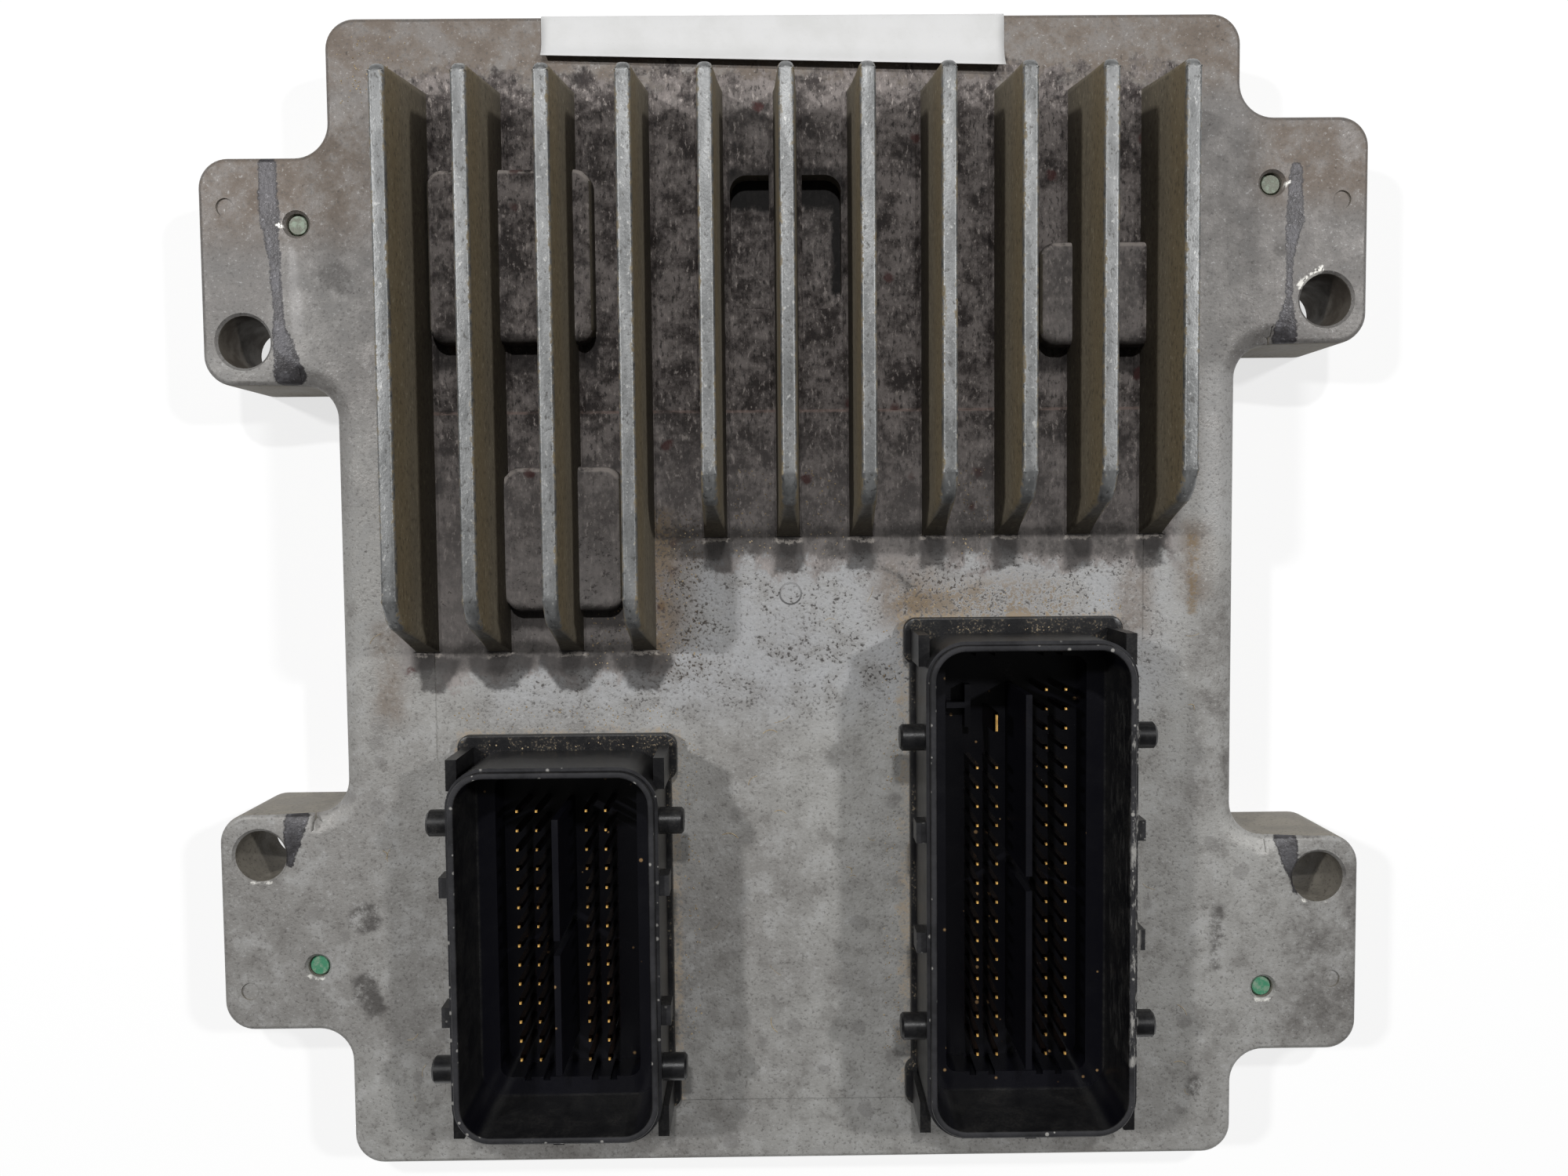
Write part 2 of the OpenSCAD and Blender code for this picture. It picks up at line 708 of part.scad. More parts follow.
// Two low walls that fence the power blade off from the floor beside it
module blade_walls() {
    wall = rib_t;
    aside = 2.7;
    upright_low = 1.6;
    upright_high = 4.2;
    cross_l = 2.9;
    cross_high = 1.4;
    translate([blade_at[0] - aside, blade_at[1], floor_z - eps]) {
        translate([-wall / 2, -upright_low, 0])
            cube([wall, upright_low + upright_high, blade_wall_h + eps]);
        translate([-cross_l, cross_high - wall / 2, 0]) cube([cross_l, wall, blade_wall_h + eps]);
    }
}

module header_sides(x, rows, peg_gap, catch_gap) {
    rail_below_rim = 3.6;
    rail_inset = 1.4;
    mid = field_mid(rows);
    low = row_y(0) - shroud_low;
    high = row_y(rows - 1) + shroud_high;
    for (side = [0, 1])
        translate([x, 0, 0]) mirror([side, 0, 0]) translate([shroud_w / 2, 0, 0]) {
            for (s = [-1, 1]) {
                translate([0, mid + s * peg_gap / 2, rim_z - peg_below_rim]) cam_peg();
                translate([0, mid + s * catch_gap / 2, 0]) catch(side_catch, side_catch_l);
            }
            for (y = [low + rail_inset, high - rail_inset])
                translate([0, y, 0]) guide_rail(rim_z - rail_below_rim);
        }
    translate([x, low, 0]) rotate([0, 0, -90]) catch(end_catch, end_catch_l);
}

module divider_rib(x, rows) {
    mid = field_mid(rows);
    half = (row_y(rows - 1) - row_y(0)) / 2;
    rib_top = rim_z - rib_below_rim;
    for (s = [0, 1])
        translate([x - rib_t / 2, mid, floor_z - eps]) mirror([0, s, 0])
            translate([0, rib_break / 2, 0]) cube([rib_t, half - rib_break / 2, rib_top - floor_z + eps]);
}

// Moulded shell of a header: skirt on the board, floor, well, flange and shroud
module header_shell(x, rows, peg_gap, catch_gap, pins) {
    lip_h = 0.9;
    lip_t = 0.4;
    tail_room = floor_z - floor_t;
    difference() {
        union() {
            translate([0, 0, board_top]) linear_extrude(ledge_z - board_top)
                header_opening(x, rows, 0);
            translate([0, 0, flange_z]) linear_extrude(flange_t) flange_2d(x, rows, 0);
            translate([0, 0, flange_z]) linear_extrude(rim_z - lip_h - flange_z) shroud_2d(x, rows, 0);
            translate([0, 0, flange_z]) linear_extrude(rim_z - flange_z) shroud_2d(x, rows, -lip_t);
            header_sides(x, rows, peg_gap, catch_gap);
        }
        translate([0, 0, ledge_z]) linear_extrude(rim_z - ledge_z + eps) shroud_2d(x, rows, -shroud_t);
        translate([0, 0, floor_z]) linear_extrude(ledge_z - floor_z + eps) well_2d(x, rows);
        well_notches(x, rows);
        translate([0, 0, board_top - eps]) linear_extrude(tail_room - board_top + eps) well_2d(x, rows);
        for (p = pins)
            translate([p[0] - p[2] / 2, p[1] - p[3] / 2, tail_room - eps])
                cube([p[2], p[3], floor_t + 2 * eps]);
    }
    divider_rib(x, rows);
}

// Each pin: middle, and thickness along X and Y
left_pins = [for (c = COLUMNS, r = [0:left_rows - 1]) [left_x + c, row_y(r), pin_t, pin_t]];
right_pins = [for (c = COLUMNS, r = [0:(c < 0 ? right_short_rows : right_rows) - 1])
    [right_x + c, row_y(r), pin_t, pin_t]];
blade_pins = [[blade_at[0], blade_at[1], pin_t, blade_w]];

// Pin with its tip tapered on four sides
module pin(p) {
    low = board_z - pin_tail;
    len = pin_tip_z - low;
    module taper(t) {
        tip = t / 2 - pin_t / 3;
        polygon([[-t / 2, 0], [t / 2, 0], [t / 2, len - pin_taper], [tip, len], [-tip, len],
            [-t / 2, len - pin_taper]]);
    }
    translate([p[0], p[1], low]) intersection() {
        translate([0, p[3] / 2, 0]) rotate([90, 0, 0]) linear_extrude(p[3]) taper(p[2]);
        translate([-p[2] / 2, 0, 0]) rotate([90, 0, 90]) linear_extrude(p[2]) taper(p[3]);
    }
}

module header_seal(x, rows) {
    seal_inset = 0.6;
    translate([0, 0, panel_z]) linear_extrude(seal_t) difference() {
        flange_2d(x, rows, seal_inset);
        header_opening(x, rows, opening_clear);
    }
}

module left_header_shell() {
    color([0.09, 0.09, 0.1])
        header_shell(left_x, left_rows, left_peg_gap, left_catch_gap, left_pins);
}

module right_header_shell() {
    color([0.09, 0.09, 0.1]) {
        header_shell(right_x, right_rows, right_peg_gap, right_catch_gap,
            concat(right_pins, blade_pins));
        blade_walls();
    }
}

module left_header_pins() {
    color("goldenrod") for (p = left_pins)
        pin(p);
}

module right_header_pins() {
    color("goldenrod") for (p = right_pins)
        pin(p);
}

module right_header_blade() {
    color("gold") pin(blade_pins[0]);
}

module left_header_seal() {
    color("gray") header_seal(left_x, left_rows);
}

module right_header_seal() {
    color("gray") header_seal(right_x, right_rows);
}

module circuit_board() {
    slot_end = 0.4;
    color("darkgreen") difference() {
        translate([0, 0, board_z]) linear_extrude(board_t) rounded_2d(board_w, board_l, board_r);
        for (p = BOSSES)
            translate(concat(p, board_z - eps))
                cylinder(d = board_screw_d + 2 * slip, h = board_t + 2 * eps);
        for (p = concat(left_pins, right_pins))
            translate([p[0], p[1], board_z - eps]) cylinder(d = pin_hole_d, h = board_t + 2 * eps);
        for (p = blade_pins)
            translate([p[0] - pin_hole_d / 2, p[1] - blade_w / 2 - slot_end / 2, board_z - eps])
                cube([pin_hole_d, blade_w + slot_end, board_t + 2 * eps]);
    }
}

module board_screws() {
    color("silver") for (p = BOSSES)
        translate(concat(p, board_z)) difference() {
            union() {
                cylinder(d = board_screw_d, h = boss_hole_top - board_z - screw_point);
                translate([0, 0, -board_head_h]) cylinder(d = board_head_d, h = board_head_h);
            }
            translate([0, 0, -board_head_h - eps]) cylinder(d = board_screw_d, h = drive_depth + eps, $fn = 6);
        }
}

// Flat chip with a row of leads along each side that is asked for
module leaded_chip(at, size, h, pitch, sides) {
    lead_l = 1.2;
    lead_t = 0.2;
    lead_w = 0.45 * pitch;
    stand = 0.1;
    translate([at[0], at[1], board_top]) {
        translate([-size[0] / 2, -size[1] / 2, stand]) cube([size[0], size[1], h - stand]);
        for (s = sides) {
            along = s % 2 == 0 ? size[0] : size[1];
            out = s % 2 == 0 ? size[1] : size[0];
            count = floor((along - 2 * pitch) / pitch);
            rotate([0, 0, 90 * s]) for (i = [0:count - 1])
                translate([(i - (count - 1) / 2) * pitch - lead_w / 2, -out / 2 - lead_l, 0])
                    cube([lead_w, lead_l + eps, lead_t]);
        }
    }
}

module microcontroller() {
    color([0.12, 0.12, 0.13]) leaded_chip(micro_chip[0], micro_chip[1], micro_h, micro_pitch, [0:3]);
}

module memory_chip() {
    color([0.12, 0.12, 0.13]) leaded_chip(memory[0], memory[1], small_chip_h, lead_pitch, [0, 2]);
}

module crystal() {
    color("lightgray") slab(crystal_can, board_top, board_top + crystal_h, crystal_r);
}

module network_transceivers() {
    color([0.12, 0.12, 0.13]) for (s = [-1, 1])
        leaded_chip([s * transceiver_x, transceiver_y], transceiver_size, small_chip_h, lead_pitch, [1, 3]);
}

module power_supply_chip() {
    color([0.12, 0.12, 0.13]) leaded_chip(supply_chip[0], supply_chip[1], chip_h, lead_pitch, [0, 2]);
}

module throttle_driver() {
    color([0.12, 0.12, 0.13]) leaded_chip(throttle_chip[0], throttle_chip[1], chip_h, lead_pitch, [0, 2]);
}

module injector_driver() {
    color([0.12, 0.12, 0.13]) leaded_chip(injector_chip[0], injector_chip[1], chip_h, lead_pitch, [1, 3]);
}

module ignition_drivers() {
    color([0.12, 0.12, 0.13]) for (i = [0:ignition_count - 1])
        leaded_chip([ignition_x + (i - (ignition_count - 1) / 2) * ignition_pitch, ignition_row_y],
            ignition_size, chip_h, ignition_lead_pitch, [0]);
}

module thermal_pads() {
    color("lightsteelblue") for (p = PEDESTALS)
        slab([p[0], p[1] - 2 * [pedestal_rim, pedestal_rim]], board_top + chip_h, pedestal_z, 0.5);
}

// Two by two upright cans under the capacitor block
module electrolytic_capacitors() {
    can_pitch = can_d + 0.6;
    color("slategray") for (sx = [-1, 1], sy = [-1, 1])
        translate([cap_block[0][0] + sx * can_pitch / 2, cap_block[0][1] + sy * can_pitch / 2, board_top]) {
            translate([-can_d / 2, -can_d / 2, 0]) cube([can_d, can_d, 1.2]);
            cylinder(d = can_d - 0.4, h = tall_h);
        }
}

module input_choke() {
    choke = [choke_block[0], [8.8, 11]];
    color("dimgray") difference() {
        slab(choke, board_top, board_top + tall_h, 1);
        translate(concat(choke[0], board_top + tall_h - 0.6)) cylinder(d = 6, h = 1);
    }
}

module film_capacitor() {
    film = [film_block[0], [9.4, 7.2]];
    color("firebrick") slab(film, board_top, board_top + tall_h, 0.6);
}

// One small capacitor for each row, along the outer side of each header
module filter_capacitors() {
    chip_cap = [2, 1.25, 1.1];
    outside = 4.4;
    color("burlywood") for (h = [[left_x, left_rows], [right_x, right_rows]], s = [-1, 1])
        for (r = [0:2:h[1] - 1])
            translate([h[0] + s * (well_half_w + outside) - chip_cap[0] / 2, row_y(r) - chip_cap[1] / 2,
                board_top]) cube(chip_cap);
}

housing();
rear_cover();
cover_seal();
cover_screws();
left_header_shell();
left_header_pins();
left_header_seal();
right_header_shell();
right_header_pins();
right_header_blade();
right_header_seal();
circuit_board();
board_screws();
microcontroller();
memory_chip();
crystal();
network_transceivers();
power_supply_chip();
throttle_driver();
injector_driver();
ignition_drivers();
thermal_pads();
electrolytic_capacitors();
input_choke();
film_capacitor();
filter_capacitors();
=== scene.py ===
# %% [markdown]
# An engine control unit: a flat die-cast box with cooling fins, four ears and two black pin headers.
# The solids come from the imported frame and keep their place. This lesson gives them rounded casting
# edges, worn and dirty finishes, a bare paper strip and the dust of the engine bay, all in code.

from math import radians
from types import SimpleNamespace

import bmesh
import bpy
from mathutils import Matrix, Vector


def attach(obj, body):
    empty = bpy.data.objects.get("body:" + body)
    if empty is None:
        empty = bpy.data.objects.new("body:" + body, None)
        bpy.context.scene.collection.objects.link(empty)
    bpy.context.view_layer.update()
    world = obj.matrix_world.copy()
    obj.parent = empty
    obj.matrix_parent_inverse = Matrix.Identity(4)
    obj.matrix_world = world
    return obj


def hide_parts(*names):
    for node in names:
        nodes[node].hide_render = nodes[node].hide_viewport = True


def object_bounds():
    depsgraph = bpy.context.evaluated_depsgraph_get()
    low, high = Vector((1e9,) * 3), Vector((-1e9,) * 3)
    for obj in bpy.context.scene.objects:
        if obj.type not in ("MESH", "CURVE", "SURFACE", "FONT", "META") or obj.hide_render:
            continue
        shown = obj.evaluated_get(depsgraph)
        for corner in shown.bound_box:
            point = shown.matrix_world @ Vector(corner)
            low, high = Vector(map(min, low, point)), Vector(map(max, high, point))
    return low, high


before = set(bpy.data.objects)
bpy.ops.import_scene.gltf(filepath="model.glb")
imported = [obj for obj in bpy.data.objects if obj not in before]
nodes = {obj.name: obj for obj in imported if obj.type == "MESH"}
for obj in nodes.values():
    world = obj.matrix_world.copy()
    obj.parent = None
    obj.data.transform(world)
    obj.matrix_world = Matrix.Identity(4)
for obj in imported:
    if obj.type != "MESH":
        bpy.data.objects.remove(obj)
cad_low, cad_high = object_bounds()
MM = 0.001
print("nodes:", len(nodes), "size in mm:", [round(v / MM, 1) for v in cad_high - cad_low])

# %% [markdown]
# The camera stands straight above the unit, as over a copy stand, a finger's breadth off its middle.
# Its height and its small tilt were solved from the even pitch of the header pins, so the same lens
# and place show the far edges with the same lean. Depth of field stays off.

# %% Camera above the finned face
LENS_MM, SENSOR_MM = 27.0, 36.0
CAMERA_PLACE_MM = (-1.904, 9.805, 172.93)
CAMERA_TILT_DEG = (-2.91, -0.446, -0.55)


def new_object(name, data):
    """A new object in the scene, at the origin."""
    made = bpy.data.objects.new(name, data)
    bpy.context.scene.collection.objects.link(made)
    return made


camera_data = bpy.data.cameras.new("copy_stand_camera")
camera_data.lens = LENS_MM
camera_data.sensor_width = SENSOR_MM
camera_data.clip_start = 10 * MM
camera = new_object("copy_stand_camera", camera_data)
camera.location = Vector(CAMERA_PLACE_MM) * MM
camera.rotation_mode = "ZYX"
camera.rotation_euler = [radians(turn) for turn in CAMERA_TILT_DEG]
bpy.context.scene.camera = camera
bpy.context.scene.view_settings.view_transform = "Standard"
print("camera height in mm:", round(camera.location.z / MM, 1))

# %% [markdown]
# Every finish below is a small graph of nodes. These helpers add one node, wire its sockets and hand
# back its output, so that a finish reads from top to bottom like a recipe. Colours are written as a
# picture editor shows them, from 0 to 255, and turned into the linear values that the shader wants.
# The graph that is being built comes first in every call, as g.

# %% Helpers for node graphs
def paint(red, green, blue):
    """A colour from picture editor numbers, as linear values."""
    def linear(v):
        v /= 255
        return v / 12.92 if v <= 0.04045 else ((v + 0.055) / 1.055) ** 2.4
    return (linear(red), linear(green), linear(blue), 1.0)


def feed(g, socket, value):
    """Links an output to a socket or sets a plain value on it; None leaves it as it is."""
    if isinstance(value, bpy.types.NodeSocket):
        g.links.new(value, socket)
    elif value is not None:
        socket.default_value = value


def add(g, kind, *inputs, **settings):
    """One node, whose inputs follow its own sockets."""
    made = g.nodes.new(kind)
    for name, value in settings.items():
        setattr(made, name, value)
    for socket, value in zip(made.inputs, inputs):
        feed(g, socket, value)
    return made


def calc(g, operation, a, b=None):
    return add(g, "ShaderNodeMath", a, b, operation=operation).outputs[0]


def times(g, first, *others):
    for other in others:
        first = calc(g, "MULTIPLY", first, other)
    return first


def both(g, a, b):
    return calc(g, "MAXIMUM", a, b)


def any_of(g, masks):
    total = masks[0]
    for mask in masks[1:]:
        total = both(g, total, mask)
    return total


def vec(g, operation, *inputs):
    """One step of arithmetic with vectors."""
    made = add(g, "ShaderNodeVectorMath", *inputs, operation=operation)
    return made.outputs["Value" if operation in ("LENGTH", "DOT_PRODUCT") else "Vector"]


def parts(g, vector):
    """The x, y and z of a vector."""
    return add(g, "ShaderNodeSeparateXYZ", vector).outputs[:3]


def rise(g, value, low, high, start=0.0, end=1.0):
    """Goes smoothly from start to end while value goes from low to high."""
    made = add(g, "ShaderNodeMapRange", value, low, high, start, end)
    made.interpolation_type = "SMOOTHSTEP"
    return made.outputs[0]


def mix(g, mask, under, over):
    """One colour laid over another where the mask is 1."""
    made = add(g, "ShaderNodeMix", data_type="RGBA")
    for number, value in ((0, mask), (6, under), (7, over)):
        feed(g, made.inputs[number], value)
    return made.outputs[2]


def lay(g, colour, *layers):
    """Lays paints over a colour, one after another, each where its mask is 1."""
    for mask, tint in layers:
        colour = mix(g, mask, colour, paint(*tint))
    return colour


def flecks(g, value, colour, *rules):
    """Lays paints over a colour: each rule has the value's low and high, an amount and the paint."""
    for low, high, amount, tint in rules:
        colour = mix(g, rise(g, value, low, high, 0.0, amount), colour, paint(*tint))
    return colour


def noise(g, place, size_mm, detail, roughness):
    return add(g, "ShaderNodeTexNoise", place, None, 1 / (size_mm * MM), detail, roughness)


def cloud(g, place, size_mm, detail, roughness):
    """Soft random values from 0 to 1, with patches of about this size."""
    return noise(g, place, size_mm, detail, roughness).outputs[0]


def stretched(g, place, along):
    """The same place with each axis multiplied, which draws a pattern out along the small ones."""
    return vec(g, "MULTIPLY", place, along)


print("middle grey as a linear value:", round(paint(128, 128, 128)[0], 3))

# %% [markdown]
# Some effects belong to more than one finish, and each of those is a node group, built once, with
# named inputs, so that every finish can place it with values of its own. The first two say how near
# a point is to some place on the unit: a soft box, and a soft line that may change its width.

# %% Groups for places
VECTOR, FLOAT = "NodeSocketVector", "NodeSocketFloat"
PLATE_Z, PANEL_Z, BLOCK_Z, FIN_PITCH = 14.0, 14.4, 17.0, 9.75


def new_group(name, inputs, output):
    """An empty shader group, with its sockets; returns the tree and its two end nodes."""
    g = bpy.data.node_groups.new(name, "ShaderNodeTree")
    for label, kind in inputs:
        g.interface.new_socket(label, in_out="INPUT", socket_type=kind)
    g.interface.new_socket(output, in_out="OUTPUT", socket_type=FLOAT)
    return g, g.nodes.new("NodeGroupInput"), g.nodes.new("NodeGroupOutput")


def make_near_box():
    """1 inside a box, falling to 0 over an edge distance around it."""
    g, start, end = new_group(
        "near_box", [("Place", VECTOR), ("Middle", VECTOR), ("Half", VECTOR), ("Edge", FLOAT)], "Mask")
    place, middle, half, edge = start.outputs[:4]
    away = vec(g, "ABSOLUTE", vec(g, "SUBTRACT", place, middle))
    outside = vec(g, "MAXIMUM", vec(g, "SUBTRACT", away, half), (0, 0, 0))
    g.links.new(rise(g, vec(g, "LENGTH", outside), 0.0, edge, 1.0, 0.0), end.inputs[0])
    return g


def make_near_line():
    """1 along a line that changes its half width from one end to the other."""
    g, start, end = new_group(
        "near_line", [("Place", VECTOR), ("From", VECTOR), ("To", VECTOR), ("Half at start", FLOAT),
                      ("Half at end", FLOAT), ("Edge", FLOAT)], "Mask")
    place, first, last, half_first, half_last, edge = start.outputs[:6]
    off, run = vec(g, "SUBTRACT", place, first), vec(g, "SUBTRACT", last, first)
    done, whole = vec(g, "DOT_PRODUCT", off, run), vec(g, "DOT_PRODUCT", run, run)
    share = add(g, "ShaderNodeMath", done, whole, operation="DIVIDE", use_clamp=True).outputs[0]
    foot = vec(g, "SCALE", run, None, None, share)
    far = vec(g, "LENGTH", vec(g, "SUBTRACT", off, foot))
    widening = times(g, calc(g, "SUBTRACT", half_last, half_first), share)
    beyond = calc(g, "SUBTRACT", far, calc(g, "ADD", half_first, widening))
    g.links.new(rise(g, beyond, 0.0, edge, 1.0, 0.0), end.inputs[0])
    return g


NEAR_BOX, NEAR_LINE = make_near_box(), make_near_line()


def use(g, group, *inputs):
    return add(g, "ShaderNodeGroup", *inputs, node_tree=group).outputs[0]


def near(g, place, low, high, edge_mm):
    """Mask of a box given by two corners in millimetres."""
    low, high = Vector(low) * MM, Vector(high) * MM
    return use(g, NEAR_BOX, place, (low + high) / 2, (high - low) / 2, edge_mm * MM)


def in_zones(g, place, zones, *edge_mm):
    """Mask of several boxes; an edge given here serves them all."""
    return any_of(g, [near(g, place, *zone, *edge_mm) for zone in zones])


def streak(g, place, first, last, half_mm, end_half_mm, edge_mm):
    """Mask of a line on the plate, from one point in millimetres to another."""
    first, last = Vector((*first, PLATE_Z)) * MM, Vector((*last, PLATE_Z)) * MM
    return use(g, NEAR_LINE, place, first, last, half_mm * MM, end_half_mm * MM, edge_mm * MM)


def in_streaks(g, place, lines, edge_mm):
    return any_of(g, [streak(g, place, *line, edge_mm) for line in lines])


print("groups for places:", NEAR_BOX.name, NEAR_LINE.name)

# %% [markdown]
# Two more groups are about what lies on the metal: specks, which fill some of the cells of a random
# grid, and dust, which settles in patches that are broken by fine grain.

# %% Groups for specks and dust
def make_specks():
    """Round specks in some of the cells of a random grid."""
    g, start, end = new_group(
        "specks", [("Place", VECTOR), ("Scale", FLOAT), ("Share", FLOAT), ("Reach", FLOAT)], "Mask")
    place, scale, share, reach = start.outputs[:4]
    cell = add(g, "ShaderNodeTexVoronoi", place, None, scale)
    chance, size = add(g, "ShaderNodeSeparateColor", cell.outputs["Color"]).outputs[:2]
    chosen = calc(g, "LESS_THAN", chance, share)
    reach = times(g, reach, rise(g, size, 0.0, 1.0, 0.45, 1.0))
    spot = rise(g, cell.outputs["Distance"], times(g, reach, 0.5), reach, 1.0, 0.0)
    g.links.new(times(g, spot, chosen), end.inputs[0])
    return g


def make_dust():
    """Settled dust: patches broken by fine grain, thicker where the zone is 1."""
    g, start, end = new_group(
        "settled_dust", [("Patch", FLOAT), ("Grain", FLOAT), ("Zone", FLOAT), ("Cover", FLOAT)], "Mask")
    patch, grain, zone, cover = start.outputs[:4]
    total = calc(g, "ADD", times(g, patch, 0.6), times(g, grain, 0.4))
    level = calc(g, "SUBTRACT", 1.0, times(g, zone, cover))
    g.links.new(rise(g, total, level, calc(g, "ADD", level, 0.2)), end.inputs[0])
    return g


SPECKS, DUST = make_specks(), make_dust()


def specks(g, place, size_mm, share, reach):
    return use(g, SPECKS, place, 1 / (size_mm * MM), share, reach)


print("groups for dirt:", SPECKS.name, DUST.name)

# %% [markdown]
# A finish starts as an empty material with one shader. Object coordinates give each point its own
# place on the unit in metres, and the matching normal says which way the skin faces there. Both move
# with the piece, so a stain stays where it is from any side.

# %% A new finish
def new_finish(name):
    """Returns a material, its tree and shader, and the place of each point."""
    material = bpy.data.materials.new(name)
    material.use_nodes = True
    g = material.node_tree
    where = add(g, "ShaderNodeTexCoord", name="where")
    return material, g, g.nodes["Principled BSDF"], where.outputs["Object"]


def skin_normal(g):
    """The x, y and z of the direction that the skin faces."""
    return parts(g, g.nodes["where"].outputs["Normal"])


def wire(g, shader, **sockets):
    """Links outputs to the shader's sockets, or sets plain values on them."""
    for name, value in sockets.items():
        feed(g, shader.inputs[name.replace("_", " ")], value)


def bump(g, height, depth_mm, strength):
    made = g.nodes.new("ShaderNodeBump")
    for name, value in (("Strength", strength), ("Distance", depth_mm * MM), ("Height", height)):
        feed(g, made.inputs[name], value)
    return made.outputs["Normal"]


def dress(name, material):
    """Gives a carried-over node its finish."""
    mesh = nodes[name].data
    mesh.materials.clear()
    mesh.materials.append(material)


print("nodes to dress:", len(nodes))

# %% [markdown]
# The housing is die-cast aluminium that has sat under a bonnet for years. Its flat skin is mottled
# grey, dust stays in the angles, and the valleys between the fins are nearly black with baked-on dirt.
# Below the feet of the fins and blocks, and in the far end of a pocket, shadows are painted on as dark
# patches. First come the places, in millimetres: boxes for zones, often with the distance over which
# they fade, and lines with a half width at each end for the marks that brackets left on the ears.

# %% Where the dirt lies
FIN_FIELDS = [((-51.2, -8.0, 10.5), (-17.2, 68.5, 31.0)), ((-18.5, 6.4, 10.5), (51.2, 68.5, 31.0))]
FLANGES = [((-44.7, -69.0, 13.5), (-15.3, -17.6, 16.0)), ((15.3, -69.0, 13.5), (44.7, -2.3, 16.0))]
PANEL_MIDDLE = ((-36, -10, 13), (46, 6, 16))
PANEL_EDGE = ((-47.9, 25.4, 13), (47.9, 25.6, 15))
SPOTTED = ((-60, -76, 13), (60, -22, 16))
FILM_BLOCK = ((30, 33, 16), (46, 46, 18))
BLOCK_TOPS = ((-52, -8, 15.4), (52, 66, 17.3))
BROWN_ZONES = [((-60, 71, 10), (60, 79, 16), 6), ((-79, 53, 10), (-58, 62, 16), 8),
               ((67, 56, 10), (79, 62, 16), 7), ((-54.6, -15, 10), (-53.6, -4, 16), 3),
               ((54.6, 1, 10), (55.6, 9, 16), 3), ((-17, -4, 10), (-15, 8, 16), 4),
               ((14, -1, 10), (18, 4, 16), 5), ((46, -4, 10), (48, 12, 16), 3)]
# Darker grey patches on two ears and the right margin.
DARKENED_ZONES = [((-79, 36, 10), (-71, 54, 16), 4), ((71, -58, 10), (79, -30, 16), 5),
              ((56, -26, 10), (60, 1, 16), 3)]
PALE_ZONES = [((57, 9, 13), (60, 30, 16), 2)]
TAN_ZONES = [((-17.6, -6, 13), (-16.9, 11, 16), 3.0), ((16, -1.8, 13), (37, 0.6, 16), 4.0),
             ((54.8, -2, 13), (55.2, 8, 16), 0.9)]
SPECKLED = [((-17, -9, 13), (-13, 10, 16), 5), ((17, -1, 13), (26, 2, 16), 4)]
# Painted shade in the pocket's far end and along one of its side walls.
POCKET_SHADE_ZONES = [((-7.2, 53.4, 8), (7.2, 57, 13.6), 1.2), ((6.6, 42, 8), (7.4, 57, 13.6), 0.6)]
# Painted shadows in strips below the lower ends of three raised blocks.
BLOCK_SHADOW_ZONES = [((-46.6, 31.6, 13), (-25.8, 34.9, 17.2), 1.2), ((33.8, 30.8, 13), (48.6, 34.0, 17.2), 1.2),
                ((-37.3, -3.0, 13), (-22.5, -0.6, 17.2), 1.0)]
# Thin lines at the feet of the fins, for a painted highlight on a small ledge.
FEET = [((-52, -7.0, 13), (-16, -6.6, 16)), ((-14, 8.1, 13), (52, 8.5, 16))]
# Painted shade in bands along the feet of the fins.
FOOT_SHADE_BANDS = [((-50.5, -8.4, 13), (-17.5, -6.0, 16)), ((-17.0, 6.8, 13), (50.5, 9.2, 16))]
# Painted shadows below the feet of the fins.
FOOT_SHADOW_ZONES = [((-50, -11.4, 13), (-16, -7.4, 16)), ((-14, 4.4, 13), (52, 7.6, 16))]
# Brown grime with painted shade inside two mounting holes.
GRIMY_SHADED_HOLES = [((-76.2, 31.6, -1), (-68.8, 39, 13.2)), ((68.8, 36.1, -1), (76.2, 43.5, 13.2))]
RUBBED = [((-68.6, 58.5), (-68.6, 51), 0.8, 0.9), ((-68.6, 51), (-68.0, 46), 0.7, 0.35),
          ((-68.0, 46), (-67.7, 38), 0.35, 0.25), ((-67.7, 38), (-66.6, 31), 0.3, 1.7),
          ((68.2, 57), (68.0, 50), 0.5, 0.8), ((68.0, 50), (67.4, 45), 0.8, 0.1),
          ((67.4, 45), (67.4, 40), 0.05, 0.05), ((67.4, 40), (67.0, 34.5), 0.1, 1.3),
          ((-67.4, -28.8), (-68.5, -35), 1.3, 0.3), ((67.9, -33.4), (69.6, -40.5), 1.2, 0.2)]
WIPED = ((-65.7, 47), (-65.2, 37), 0.2, 0.4)
BLOTCHES = [((-58.5, -42.9), (-58.2, -43.4), 1.5, 1.2), ((-58.8, -52.4), (-57.6, -55.6), 1.1, 0.7),
            ((-60.4, 44), (-59.2, 43), 1.3, 0.9), ((55.6, -67.3), (55.4, -68.3), 0.5, 0.4),
            ((58.6, -43), (58.4, -51), 0.18, 0.08), ((66.2, 46.5), (66.3, 46.3), 0.4, 0.3),
            ((11.5, 5.5), (16, 2), 0.12, 0.1)]
